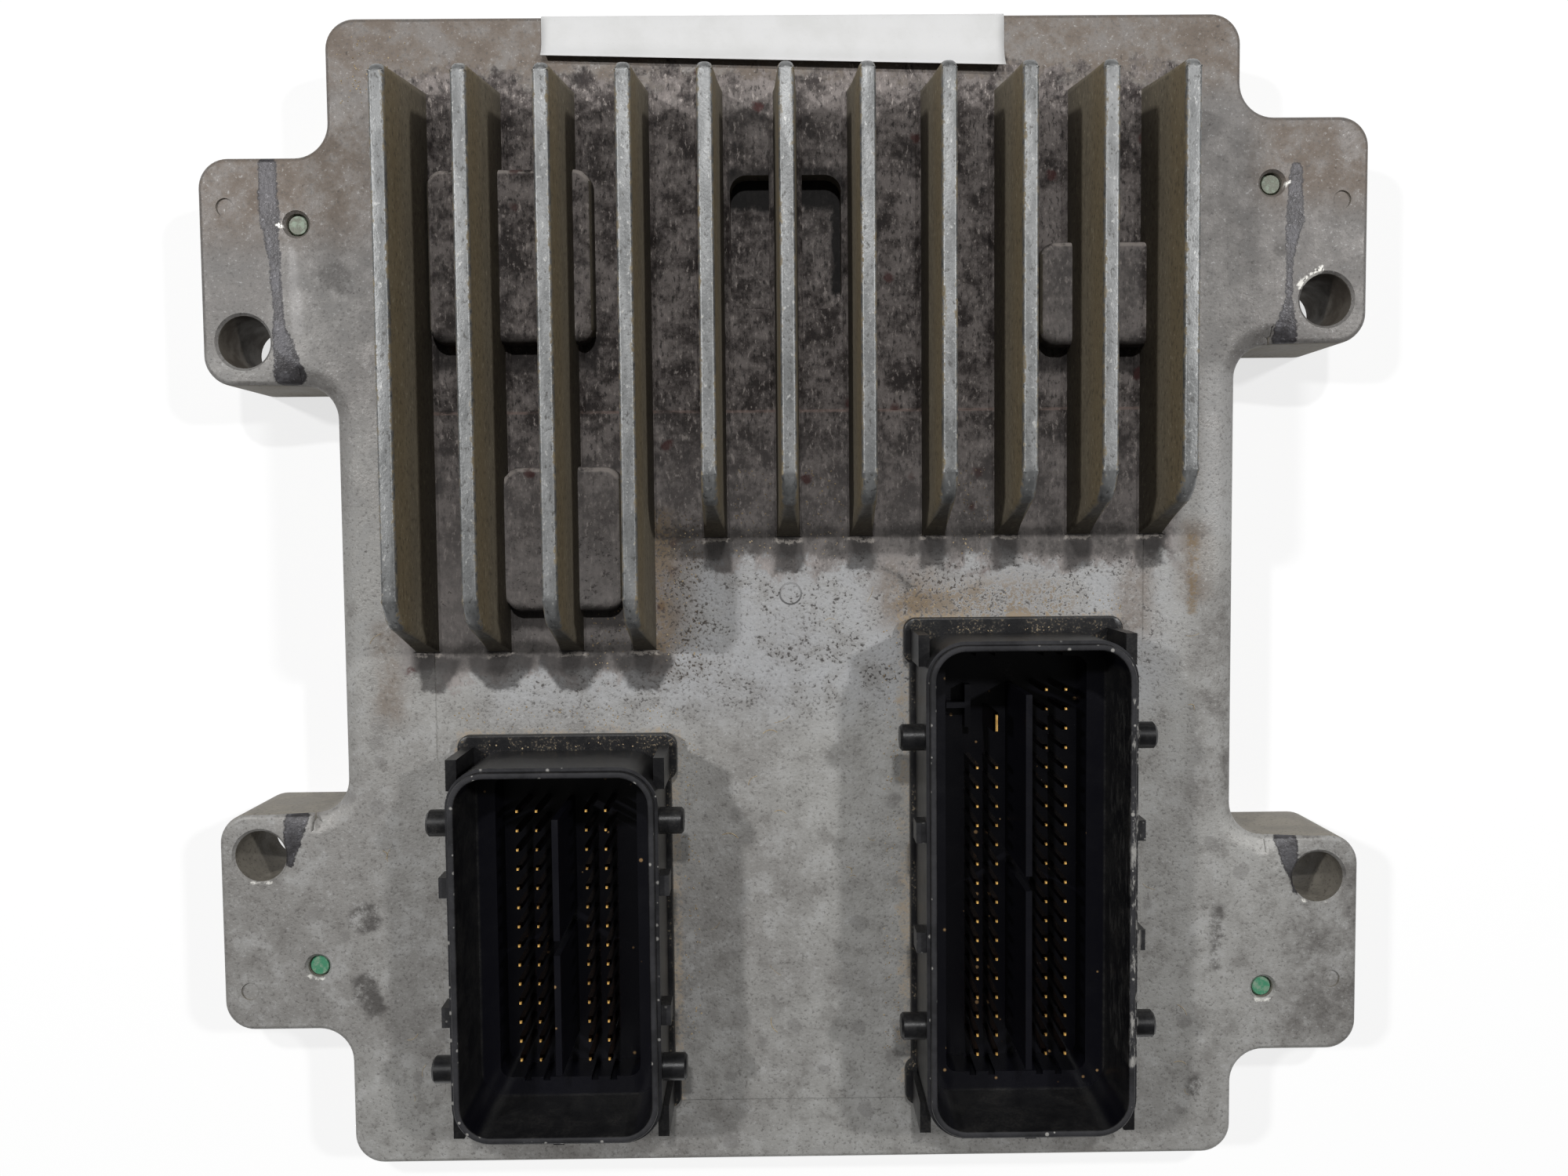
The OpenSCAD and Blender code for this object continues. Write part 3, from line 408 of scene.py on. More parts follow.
# Painted glints at the edges of screw dimples and holes.
GLINTS = [((-67.5, 50.7), (-66.6, 50.3), 0.16, 0.05), ((66.4, 54.8), (67.3, 55.3), 0.16, 0.05),
          ((-66.2, -51.0), (-64.2, -51.4), 0.16, 0.1), ((64.0, -55.7), (65.8, -55.8), 0.14, 0.1),
          ((69.0, 41.6), (71.6, 43.8), 0.35, 0.3), ((-71.3, -37.9), (-73.6, -37.7), 0.15, 0.1),
          ((70.6, -41.9), (73.6, -42.2), 0.15, 0.1)]
print("stained zones:", len(BROWN_ZONES + TAN_ZONES), "marks:", len(RUBBED + BLOTCHES + GLINTS))

# %% [markdown]
# The flat skin needs nearly all of them. Its graph starts with clouds of three sizes, which are made
# once and used many times, because each of them costs time at every ray. The clouds also shake the
# places, so that no stain ends in a straight line.

# %% Clouds and shaken places
def off_fin(g, across):
    """How far a point is from the middle plane of the nearest fin."""
    half = FIN_PITCH / 2 * MM
    wrapped = add(g, "ShaderNodeMath", across, half, -half, operation="WRAP")
    return calc(g, "ABSOLUTE", wrapped.outputs[0])


def shaken(g, place, shake, x_mm, y_mm):
    return vec(g, "MULTIPLY_ADD", shake, (x_mm * MM, y_mm * MM, 0), place)


def flat_clouds(g, place):
    """The clouds, shaken places, zones and measures that the flat skin is painted with."""
    made = SimpleNamespace(place=place)
    grain, soft = noise(g, place, 0.42, 2.0, 0.65), noise(g, place, 3.8, 5.0, 0.72)
    made.fine, made.mid, made.wide = grain.outputs[0], soft.outputs[0], cloud(g, place, 24.0, 2.0, 0.6)
    sway = vec(g, "SUBTRACT", soft.outputs[1], (0.5, 0.5, 0.5))
    made.ragged = shaken(g, place, sway, 3.2, 3.2)
    made.torn = shaken(g, place, sway, 3.2, 20.0)
    wobbly = shaken(g, shaken(g, place, grain.outputs[1], 0.8, 0.8), sway, 1.1, 1.1)
    made.wobbly = vec(g, "SUBTRACT", wobbly, (0.4 * MM, 0.4 * MM, 0))
    across, made.upward = parts(g, place)[:2]
    made.lean, made.facing = skin_normal(g)[1:]
    made.off_fin = off_fin(g, across)
    made.panel = near(g, place, *PANEL_MIDDLE, 10)
    made.floor = in_zones(g, made.torn, FIN_FIELDS, 2.8)
    drops = add(g, "ShaderNodeTexVoronoi", made.ragged, None, 1 / (4.4 * MM))
    made.apart = drops.outputs["Distance"]
    made.chance = add(g, "ShaderNodeSeparateColor", drops.outputs["Color"]).outputs
    return made


print("distance between fins in mm:", FIN_PITCH)

# %% [markdown]
# The casting itself comes first: broad clouds of grey with paler and darker flecks, darker grey
# patches on the ears and the right margin, the pale panel, a warmer grey toward the top, brown stains, and
# soft water spots near the bottom.

# %% Bare casting
def bare_casting(g, c):
    colour = mix(g, rise(g, c.wide, 0.35, 0.65), paint(132, 130, 127), paint(151, 150, 147))
    colour = flecks(g, c.mid, colour, (0.5, 0.66, 0.42, (168, 168, 167)),
                    (0.48, 0.34, 0.36, (106, 102, 98)))
    # Darker grey patches on the ears and the right margin.
    darkened = times(g, in_zones(g, c.ragged, DARKENED_ZONES), rise(g, c.mid, 0.62, 0.36, 0.2, 0.7))
    pale = times(g, in_zones(g, c.ragged, PALE_ZONES), rise(g, c.mid, 0.3, 0.6, 0.3, 0.7))
    panel = times(g, c.panel, rise(g, c.mid, 0.3, 0.6, 0.15, 0.5))
    colour = lay(g, colour, (darkened, (98, 95, 92)), (pale, (184, 184, 183)), (panel, (164, 166, 170)))
    colour = flecks(g, c.upward, colour, (-20 * MM, 70 * MM, 0.78, (91, 87, 85)))
    brown = times(g, in_zones(g, c.ragged, BROWN_ZONES), rise(g, c.mid, 0.34, 0.6, 0.15, 0.7))
    colour = mix(g, brown, colour, paint(104, 91, 79))
    colour = flecks(g, c.fine, colour, (0.46, 0.28, 0.55, (80, 77, 75)), (0.6, 0.76, 0.4, (178, 178, 178)))
    spots = times(g, near(g, c.place, *SPOTTED, 12), rise(g, c.apart, 0.3, 0.2),
                  calc(g, "LESS_THAN", c.chance[0], 0.36))
    spots = times(g, spots, rise(g, c.fine, 0.3, 0.6, 0.2, 0.42))
    return mix(g, spots, colour, paint(96, 93, 91))


print("brown, dull and pale zones:", len(BROWN_ZONES), len(DARKENED_ZONES), len(PALE_ZONES))

# %% [markdown]
# The valleys are next. Their dirt is brushed along the fins and grows paler toward the feet. The upper
# edges of the raised blocks are pale: worn metal, with a painted highlight on the edges that face the
# upper lamp. Painted shade fills the pocket's far end, painted shadows lie in strips below the blocks, a
# pale line shows where the panel begins, and a few spots have rusted.

# %% Valley dirt
def valley_dirt(g, c):
    brushed = cloud(g, stretched(g, c.place, (1, 0.4, 1)), 0.5, 3.0, 0.7)
    dirt = mix(g, rise(g, c.mid, 0.36, 0.64), paint(42, 35, 33), paint(124, 117, 114))
    dirt = flecks(g, brushed, dirt, (0.47, 0.34, 0.8, (26, 22, 21)), (0.56, 0.68, 0.8, (160, 152, 147)))
    dirt = flecks(g, c.upward, dirt, (28 * MM, 10 * MM, 0.36, (136, 131, 129)),
                  (12 * MM, 0.0, 0.3, (152, 147, 144)))
    dirt = mix(g, times(g, near(g, c.place, *FILM_BLOCK, 1.0), 0.3), dirt, paint(140, 136, 134))
    # Pale upper edges of the blocks: worn metal, with a painted highlight where they face the upper lamp.
    edges = times(g, near(g, c.place, *BLOCK_TOPS, 0.3), rise(g, c.facing, 0.98, 0.88),
                  rise(g, c.facing, 0.3, 0.6))
    edges = times(g, edges, rise(g, c.lean, 0.05, 0.3, 0.2, 0.8), rise(g, c.mid, 0.38, 0.54))
    return mix(g, edges, dirt, paint(166, 158, 152))


def with_valleys(g, c, colour):
    cover = times(g, c.floor, rise(g, c.wide, 0.2, 0.5, 0.75, 1.0))
    colour = mix(g, cover, colour, valley_dirt(g, c))
    # Painted shade in the pocket.
    pocket_shade = times(g, in_zones(g, c.ragged, POCKET_SHADE_ZONES), 0.95)
    # Painted shadows below the blocks.
    shadowed = times(g, in_zones(g, c.ragged, BLOCK_SHADOW_ZONES), 0.72)
    line = times(g, near(g, c.place, *PANEL_EDGE, 0.2), rise(g, c.mid, 0.36, 0.52, 0.1, 0.6))
    rust = times(g, c.floor, rise(g, c.apart, 0.22, 0.1), calc(g, "GREATER_THAN", c.chance[1], 0.75), 0.8)
    return lay(g, colour, (pocket_shade, (9, 7, 7)), (shadowed, (26, 21, 20)), (line, (138, 118, 110)),
               (rust, (66, 30, 28)))


print("shaded and hidden strips:", len(POCKET_SHADE_ZONES), len(BLOCK_SHADOW_ZONES))

# %% [markdown]
# On the plate lie small pits, a band of painted shade along the feet of the fins, tan dust and
# speckles beside them, and a painted shadow below each foot. The painted shadows of the long fins are
# wide at the foot and narrow below, so the distance from the fin is made shorter there. A thin pale line
# at each foot is a painted highlight on a small ledge.

# %% Pits and feet
def with_pits_and_feet(g, c, colour):
    pits = specks(g, c.ragged, 0.8, 0.34, 0.28)
    pits = times(g, pits, rise(g, c.mid, 0.44, 0.6, 0.05, 0.6), rise(g, c.upward, -45 * MM, 0.0, 0.3, 1.0))
    stipple = times(g, c.panel, rise(g, c.fine, 0.46, 0.36), rise(g, c.mid, 0.52, 0.44, 0.0, 0.8))
    # Painted shade in a band along the feet of the fins.
    foot_shade = times(g, in_zones(g, c.ragged, FOOT_SHADE_BANDS, 1.6), rise(g, c.mid, 0.3, 0.6, 0.85, 0.6))
    crumbled = calc(g, "ADD", c.mid, times(g, c.fine, 0.9))
    tan = times(g, in_zones(g, c.ragged, TAN_ZONES), rise(g, crumbled, 0.9, 1.08, 0.06, 0.7))
    speckled = times(g, in_zones(g, c.ragged, SPECKLED), rise(g, c.fine, 0.48, 0.36, 0.0, 0.7))
    # Painted shadows below each foot, wide at the foot of the long fins.
    off_foot = calc(g, "ADD", c.off_fin, times(g, calc(g, "SUBTRACT", 0.5, c.mid), 3.0 * MM))
    widened = calc(g, "SUBTRACT", rise(g, c.upward, -12.5 * MM, -7 * MM, 0.0, 2.6 * MM),
                   rise(g, c.upward, -5 * MM, 0.0, 0.0, 2.6 * MM))
    below = rise(g, calc(g, "SUBTRACT", off_foot, widened), 2.3 * MM, 1.4 * MM, 0.0, 0.75)
    foot_shadow = times(g, in_zones(g, c.ragged, FOOT_SHADOW_ZONES, 0.7), below)
    # A painted highlight in a thin pale line at each foot.
    foot_highlight = times(g, in_zones(g, c.ragged, FEET, 0.15), rise(g, c.fine, 0.36, 0.52),
                 rise(g, c.off_fin, 2.1 * MM, 1.5 * MM, 0.0, 0.75))
    return lay(g, colour, (both(g, pits, stipple), (54, 50, 48)), (foot_shade, (48, 45, 43)),
               (tan, (112, 94, 68)), (speckled, (62, 53, 44)), (foot_shadow, (42, 39, 38)),
               (foot_highlight, (140, 134, 128)))


print("rows of feet:", len(FEET))

# %% [markdown]
# Brackets have rubbed graphite-grey streaks into the ears, darkened along their edges as painted shade
# of the grooves, and one strip was wiped clean. Dark blotches follow, then painted glints on the edges
# of the screw dimples and holes, one of them on a scraped lip. At last dust gathers round the flanges of
# the headers, and the shader gets its gloss: dirt is dull, rubbed metal shines a little.

# %% Flat cast skin
def with_bracket_marks(g, c, colour, rubbed):
    graphite = mix(g, rise(g, c.mid, 0.4, 0.6), paint(34, 32, 35), paint(68, 67, 71))
    graphite = flecks(g, c.fine, graphite, (0.46, 0.28, 0.7, (38, 36, 40)),
                      (0.6, 0.72, 0.5, (120, 119, 123)))
    # Painted shade along the edges of the rubbed grooves.
    groove_shade = times(g, rise(g, rubbed, 0.1, 0.4), rise(g, rubbed, 0.95, 0.6))
    graphite = mix(g, times(g, groove_shade, 0.9), graphite, paint(32, 30, 33))
    colour = mix(g, rise(g, rubbed, 0.05, 0.6, 0.0, 0.92), colour, graphite)
    wiped = times(g, streak(g, c.wobbly, *WIPED, 0.8), 0.22)
    crumbled = calc(g, "ADD", c.mid, times(g, c.fine, 0.35))
    blots = times(g, in_streaks(g, c.ragged, BLOTCHES, 1.2), rise(g, crumbled, 0.86, 0.6), 0.75)
    # Painted glints at the edges of the screw dimples and holes.
    glints = times(g, in_streaks(g, c.wobbly, GLINTS, 0.25), rise(g, c.fine, 0.35, 0.5))
    return lay(g, colour, (wiped, (172, 170, 170)), (blots, (66, 63, 61)), (glints, (212, 210, 204)))


def make_flat_skin():
    material, g, shader, place = new_finish("cast_skin")
    c = flat_clouds(g, place)
    colour = with_pits_and_feet(g, c, with_valleys(g, c, bare_casting(g, c)))
    rubbed = in_streaks(g, c.wobbly, RUBBED, 0.7)
    colour = with_bracket_marks(g, c, colour, rubbed)
    flanges = in_zones(g, c.ragged, FLANGES, 2.4)
    dust = use(g, DUST, c.mid, c.fine, flanges, 0.58)
    colour = mix(g, times(g, dust, 0.75), colour, paint(138, 122, 100))
    dullness = calc(g, "ADD", c.mid, times(g, c.floor, 0.4))
    dullness = calc(g, "SUBTRACT", dullness, times(g, rubbed, 0.25))
    wire(g, shader, Base_Color=colour, Normal=bump(g, c.fine, 0.07, 0.7),
         Metallic=rise(g, both(g, c.floor, dust), 0.0, 1.0, 0.35, 0.0),
         Roughness=rise(g, dullness, 0.2, 0.9, 0.42, 0.85))
    return material


FLAT_SKIN = make_flat_skin()
print("flat skin nodes:", len(FLAT_SKIN.node_tree.nodes))

# %% [markdown]
# The fins need far less: an olive film on the sides, golden near the top and greyer at the foot, and
# tops rubbed to pale metal. The wear wraps round the ends and has a dark, chewed edge. Walls and
# everything inside share one dusty khaki skin, and two of the mounting holes are painted dark brown
# inside: grime, with painted shade.

# %% Fins and walls
def make_fin_skin():
    material, g, shader, place = new_finish("cast_fins")
    across, _, height = parts(g, place)
    facing = skin_normal(g)[2]
    mid = cloud(g, stretched(g, place, (1, 0.25, 1)), 2.0, 3.0, 0.6)
    fine = cloud(g, stretched(g, place, (1, 0.6, 1)), 0.5, 2.0, 0.65)
    olive = mix(g, rise(g, mid, 0.3, 0.7), paint(94, 86, 71), paint(104, 96, 80))
    olive = flecks(g, height, olive, (22 * MM, 28 * MM, 0.45, (110, 94, 62)),
                   (21 * MM, 15 * MM, 0.5, (76, 72, 66)))
    olive = flecks(g, fine, olive, (0.48, 0.3, 0.6, (58, 51, 39)), (0.6, 0.74, 0.5, (146, 138, 118)))
    worn = mix(g, rise(g, mid, 0.3, 0.7), paint(93, 94, 94), paint(124, 125, 125))
    worn = flecks(g, fine, worn, (0.43, 0.28, 0.8, (66, 65, 63)), (0.6, 0.74, 0.7, (164, 164, 162)))
    bare = both(g, rise(g, facing, 0.12, 0.45), rise(g, height, 29.4 * MM, 30.0 * MM))
    bare = times(g, bare, rise(g, height, 19 * MM, 25 * MM))
    chewed = calc(g, "ADD", off_fin(g, across), times(g, mid, 1.2 * MM))
    chewed = calc(g, "ADD", chewed, times(g, fine, 1.6 * MM))
    bare = times(g, bare, rise(g, chewed, 2.1 * MM, 2.6 * MM, 1.0, 0.0))
    wire(g, shader, Base_Color=mix(g, bare, olive, worn), Metallic=times(g, bare, 0.45),
         Roughness=rise(g, bare, 0.0, 1.0, 0.85, 0.42), Normal=bump(g, fine, 0.05, 0.8))
    return material


def make_wall_skin():
    material, g, shader, place = new_finish("cast_walls")
    mid = cloud(g, place, 4.0, 4.0, 0.65)
    fine = cloud(g, place, 0.5, 2.0, 0.7)
    colour = mix(g, rise(g, mid, 0.35, 0.65), paint(114, 109, 100), paint(134, 129, 119))
    colour = flecks(g, fine, colour, (0.46, 0.28, 0.7, (74, 68, 60)))
    # Brown grime and painted shade inside two mounting holes.
    grime_and_shade = times(g, in_zones(g, place, GRIMY_SHADED_HOLES, 0.6), rise(g, mid, 0.35, 0.6, 0.4, 0.9))
    colour = mix(g, grime_and_shade, colour, paint(62, 53, 44))
    wire(g, shader, Base_Color=colour, Metallic=0.2, Roughness=rise(g, mid, 0.2, 0.8, 0.55, 0.8),
         Normal=bump(g, mid, 0.15, 0.7))
    return material


FIN_SKIN, WALL_SKIN = make_fin_skin(), make_wall_skin()
print("fin and wall nodes:", [len(m.node_tree.nodes) for m in (FIN_SKIN, WALL_SKIN)])

# %% [markdown]
# The headers are black glass-filled plastic. It is glossy inside, where nothing rubs, and painted
# darker there with a faint blue tint that is a painted reflection. Outside it is grey with dust on the
# flanges, and scuffed pale along the rim, most of all on the right side of the long one. A few grains
# have fallen into the wells.

# %% Header plastic and rubber
WELLS = [((-41.6, -65.9, 11), (-18.4, -21.4, 28.4)), ((18.4, -65.9, 11), (41.6, -6.2, 28.4))]
FLANGE_TOPS = ((-80, -80, 15), (80, 80, 16.8))
SCRAPED_WALL = ((42.4, -58, 20), (43.6, -12, 29))


def make_header_plastic():
    material, g, shader, place = new_finish("header_plastic")
    height = parts(g, place)[2]
    up = rise(g, skin_normal(g)[2], 0.5, 0.9)
    mid = cloud(g, place, 4.0, 4.0, 0.65)
    fine = cloud(g, place, 0.32, 2.0, 0.7)
    inside = in_zones(g, place, WELLS, 0.3)
    colour = mix(g, rise(g, mid, 0.3, 0.7), paint(16, 16, 18), paint(27, 27, 28))
    film = times(g, rise(g, fine, 0.35, 0.7), calc(g, "SUBTRACT", 1.0, inside),
                 rise(g, mid, 0.4, 0.7, 0.05, 0.45))
    rim = times(g, up, rise(g, height, 26.6 * MM, 27.8 * MM))
    dim = times(g, rim, rise(g, mid, 0.3, 0.6, 0.1, 0.5))
    flange = times(g, up, near(g, place, *FLANGE_TOPS, 0.3))
    lumps = times(g, flange, rise(g, fine, 0.56, 0.66), rise(g, mid, 0.45, 0.6))
    drawn = cloud(g, stretched(g, place, (1, 0.3, 1)), 1.2, 4.0, 0.75)
    scrape = times(g, near(g, place, *SCRAPED_WALL, 0.5), rise(g, drawn, 0.5, 0.62))
    edge = times(g, rim, specks(g, place, 0.9, 0.3, 0.36))
    crumbs = times(g, inside, up, specks(g, place, 1.7, 0.2, 0.2))
    # Inside the wells: darker, with a faint blue tint as a painted reflection.
    colour = lay(g, colour, (inside, (9, 9, 15)), (film, (58, 56, 53)), (dim, (50, 50, 54)),
                 (times(g, lumps, 0.75), (118, 105, 84)),
                 (times(g, both(g, scrape, edge), 0.8), (150, 148, 144)), (crumbs, (140, 112, 78)))
    dusty = any_of(g, [lumps, times(g, rim, 0.6), scrape])
    wire(g, shader, Base_Color=colour, Normal=bump(g, fine, 0.02, 0.6), Specular_IOR_Level=0.3,
         Roughness=rise(g, calc(g, "ADD", times(g, mid, 0.5), dusty), 0.1, 1.0, 0.3, 0.8))
    return material


def make_rubber():
    material, g, shader, place = new_finish("seal_rubber")
    mid = cloud(g, place, 2.5, 4.0, 0.65)
    fine = cloud(g, place, 0.35, 2.0, 0.6)
    colour = mix(g, rise(g, mid, 0.4, 0.7), paint(26, 25, 25), paint(62, 57, 51))
    wire(g, shader, Base_Color=colour, Roughness=rise(g, mid, 0.2, 0.8, 0.65, 0.9),
         Normal=bump(g, fine, 0.03, 0.7))
    return material


HEADER_PLASTIC, RUBBER = make_header_plastic(), make_rubber()
for name in ("cover_seal", "left_header_seal", "right_header_seal"):
    dress(name, RUBBER)
print("header nodes:", [len(m.node_tree.nodes) for m in (HEADER_PLASTIC, RUBBER)])

# %% [markdown]
# Pins are gold over copper: bright at the tips where plugs rub, browner toward the foot. The screws
# that hold the rear cover show their tips through the ears. The plating there has gone green, more
# on the lower pair, while the heads at the back are still grey.

# %% Pins and screws
def make_pin_metal():
    material, g, shader, place = new_finish("pin_metal")
    height = parts(g, place)[2]
    mid = cloud(g, place, 1.6, 3.0, 0.6)
    tip = rise(g, height, 21.1 * MM, 21.5 * MM)
    colour = mix(g, tip, paint(64, 36, 19), paint(232, 184, 104))
    colour = flecks(g, mid, colour, (0.52, 0.72, 0.5, (120, 74, 42)))
    wire(g, shader, Base_Color=colour, Metallic=rise(g, tip, 0.0, 1.0, 1.0, 0.35),
         Roughness=rise(g, tip, 0.0, 1.0, 0.2, 0.45))
    return material


def make_plated_steel():
    material, g, shader, place = new_finish("plated_steel")
    _, upward, height = parts(g, place)
    mid = cloud(g, place, 0.8, 4.0, 0.65)
    tip = rise(g, height, 11 * MM, 12.5 * MM)
    green = mix(g, rise(g, upward, -5 * MM, 5 * MM), paint(66, 128, 98), paint(66, 70, 54))
    green = flecks(g, mid, green, (0.44, 0.68, 0.75, (132, 146, 130)))
    grey = mix(g, rise(g, mid, 0.3, 0.7), paint(132, 134, 136), paint(172, 174, 174))
    wire(g, shader, Base_Color=mix(g, tip, grey, green), Normal=bump(g, mid, 0.03, 0.6),
         Metallic=rise(g, tip, 0.0, 1.0, 0.85, 0.15), Roughness=rise(g, mid, 0.2, 0.8, 0.3, 0.55))
    return material


PIN_METAL, PLATED_STEEL = make_pin_metal(), make_plated_steel()
for name in ("left_header_pins", "right_header_pins", "right_header_blade"):
    dress(name, PIN_METAL)
for name in ("cover_screws", "board_screws"):
    dress(name, PLATED_STEEL)
print("metal nodes:", [len(m.node_tree.nodes) for m in (PIN_METAL, PLATED_STEEL)])

# %% [markdown]
# The rear cover is rolled sheet, so its grain runs one way. Under it lie the pieces that nobody sees
# until the box is opened: the board with its tinned holes, chips, cans and the rest. One recipe with
# two colours, a grain size and a gloss serves them all.

# %% Rear cover and inner pieces
def make_rolled_sheet():
    material, g, shader, place = new_finish("cover_aluminium")
    rolled = cloud(g, stretched(g, place, (1, 0.03, 1)), 0.5, 4.0, 0.6)
    mid = cloud(g, place, 9.0, 4.0, 0.62)
    colour = mix(g, rise(g, rolled, 0.35, 0.65), paint(136, 137, 138), paint(160, 161, 162))
    colour = flecks(g, mid, colour, (0.5, 0.72, 0.55, (122, 116, 108)))
    colour = mix(g, times(g, specks(g, place, 2.6, 0.25, 0.2), 0.6), colour, paint(84, 80, 76))
    wire(g, shader, Base_Color=colour, Metallic=0.6, Roughness=rise(g, mid, 0.25, 0.75, 0.38, 0.62),
         Normal=bump(g, rolled, 0.015, 0.5))
    return material


def make_inner(name, dark, light, grain_mm, rough, metallic=0.0, depth_mm=0.02, dots=None):
    """Two colours in a grain; dots, if given, are a colour for scattered round spots."""
    material, g, shader, place = new_finish(name)
    grain = cloud(g, place, grain_mm, 4.0, 0.62)
    colour = mix(g, rise(g, grain, 0.35, 0.65), paint(*dark), paint(*light))
    if dots:
        colour = mix(g, specks(g, place, 2.2, 0.4, 0.22), colour, paint(*dots))
    wire(g, shader, Base_Color=colour, Metallic=metallic, Normal=bump(g, grain, depth_mm, 0.6),
         Roughness=rise(g, grain, 0.2, 0.8, rough - 0.08, rough + 0.08))
    return material


dress("rear_cover", make_rolled_sheet())
INNER = [("board_laminate", ["circuit_board"],
          ((20, 62, 42), (30, 84, 56), 3.0, 0.4, 0.0, 0.02, (190, 188, 178))),
         ("chip_plastic", ["microcontroller", "memory_chip", "network_transceivers", "power_supply_chip",
                           "throttle_driver", "injector_driver", "ignition_drivers"],
          ((24, 24, 26), (40, 40, 42), 0.5, 0.6)),
         ("pad_silicone", ["thermal_pads"], ((134, 140, 152), (158, 163, 172), 1.2, 0.75)),
         ("can_aluminium", ["electrolytic_capacitors"], ((168, 170, 173), (192, 194, 196), 2.0, 0.35, 0.8)),
         ("choke_ferrite", ["input_choke"], ((44, 42, 41), (66, 63, 60), 0.6, 0.7, 0.1, 0.04)),
         ("film_plastic", ["film_capacitor"], ((160, 112, 44), (184, 136, 60), 1.5, 0.4)),
         ("capacitor_ceramic", ["filter_capacitors"], ((152, 126, 92), (182, 156, 120), 0.5, 0.5)),
         ("crystal_can", ["crystal"], ((176, 177, 178), (198, 198, 198), 1.0, 0.3, 0.85))]
for slot, names, look in INNER:
    finish = make_inner(slot, *look)
    for name in names:
        dress(name, finish)
print("inner finishes:", len(INNER))

# %% [markdown]
# Castings have no sharp outer edges, and those soft edges are what catches the light. The frame's
# mesh is loose triangles, so a copy is merged and its flat triangles are joined again. Only the edges
# that a hand could feel are then rounded, each group by its own radius.

# %% Tools for rounding
SAME_POINT_MM = 0.002
FLAT_DEG, SHARP_DEG, SMOOTH_DEG = 0.6, 40, 32


def keep_result(piece, modifier):
    """Gives the piece the mesh that its modifier makes, and removes the modifier."""
    graph = bpy.context.evaluated_depsgraph_get()
    mesh = bpy.data.meshes.new_from_object(piece.evaluated_get(graph))
    piece.modifiers.remove(modifier)
    piece.data = mesh
    return mesh


def merged_copy(name):
    mesh = nodes[name].data.copy()
    for old in [a for a in mesh.attributes if a.name == "custom_normal"]:
        mesh.attributes.remove(old)
    work = bmesh.new()
    work.from_mesh(mesh)
    bmesh.ops.remove_doubles(work, verts=work.verts, dist=SAME_POINT_MM * MM)
    bmesh.ops.dissolve_limit(work, angle_limit=radians(FLAT_DEG), verts=work.verts, edges=work.edges)
    return mesh, work


def sharp_edges(work, wanted):
    """The sharp outward edges whose middle, in mm, the rule wants."""
    found = []
    for edge in work.edges:
        if len(edge.link_faces) != 2:
            continue
        turn = edge.calc_face_angle_signed(0.0)
        middle = (edge.verts[0].co + edge.verts[1].co) / 2 / MM
        if turn > radians(SHARP_DEG) and wanted(middle, edge):
            found.append(edge)
    return found


def round_off(work, wanted, radius_mm, segments):
    edges = sharp_edges(work, wanted)
    bmesh.ops.bevel(work, geom=edges, offset=radius_mm * MM, offset_type="OFFSET", segments=segments,
                    profile=0.5, affect="EDGES", clamp_overlap=False)
    return len(edges)


def finish_piece(name, mesh, work, materials, node_name, chooser=None):
    """Writes the worked mesh to a new piece that stands for its node."""
    bmesh.ops.triangulate(work, faces=[f for f in work.faces if len(f.verts) > 4])
    for face in work.faces:
        face.material_index = chooser(face) if chooser else 0
        face.smooth = True
    mesh.materials.clear()
    for material in materials:
        mesh.materials.append(material)
    work.to_mesh(mesh)
    work.free()
    mesh.set_sharp_from_angle(angle=radians(SMOOTH_DEG))
    piece = new_object(name, mesh)
    weight = piece.modifiers.new("even_normals", "WEIGHTED_NORMAL")
    weight.keep_sharp = True
    flat = keep_result(piece, weight)
    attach(piece, "root")
    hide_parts(node_name)
    print(name, "triangles:", sum(len(p.vertices) - 2 for p in flat.polygons))


print("edges count as sharp from", SHARP_DEG, "degrees")

# %% [markdown]
# Each group of edges has its own rule, which looks at an edge's middle in millimetres and at the faces
# beside it. The edges round the headers and the small moulded marks stay as they are. Another rule
# chooses one of the three cast skins for each face.

# %% Which edges, and which skin
HEADER_X, HEADER_REACH, HEADER_TOP = 30, 13, -3
FIELD_X, FIELD_TOP, LONG_FINS_TO_X, LONG_FEET, SHORT_FEET = 52, 68.5, -17, -8, 7
MARK_X, MARK_Y, MARK_REACH = 74.4, 53, 1.6


def level(edge, z_mm):
    return all(abs(v.co.z / MM - z_mm) < 0.03 for v in edge.verts)


def between(edge, low, high):
    return all(low < v.co.z / MM < high for v in edge.verts)


def tops_a_wall(edge):
    """True where a face that looks up meets an upright one."""
    slants = sorted(abs(f.normal.z) for f in edge.link_faces)
    return slants[0] < 0.3 and slants[1] > 0.85


def over_header(p):
    return abs(abs(p.x) - HEADER_X) < HEADER_REACH and p.y < HEADER_TOP


def among_fins(p):
    feet = LONG_FEET if p.x < LONG_FINS_TO_X else SHORT_FEET
    return abs(p.x) < FIELD_X and feet < p.y < FIELD_TOP


def on_outline(p, edge):
    in_mark = abs(abs(p.x) - MARK_X) < MARK_REACH and abs(abs(p.y) - MARK_Y) < MARK_REACH
    return (between(edge, 12.6, 14.05) and tops_a_wall(edge)
            and not among_fins(p) and not in_mark and not over_header(p))


def on_panel(p, edge):
    return level(edge, PANEL_Z) and not over_header(p)


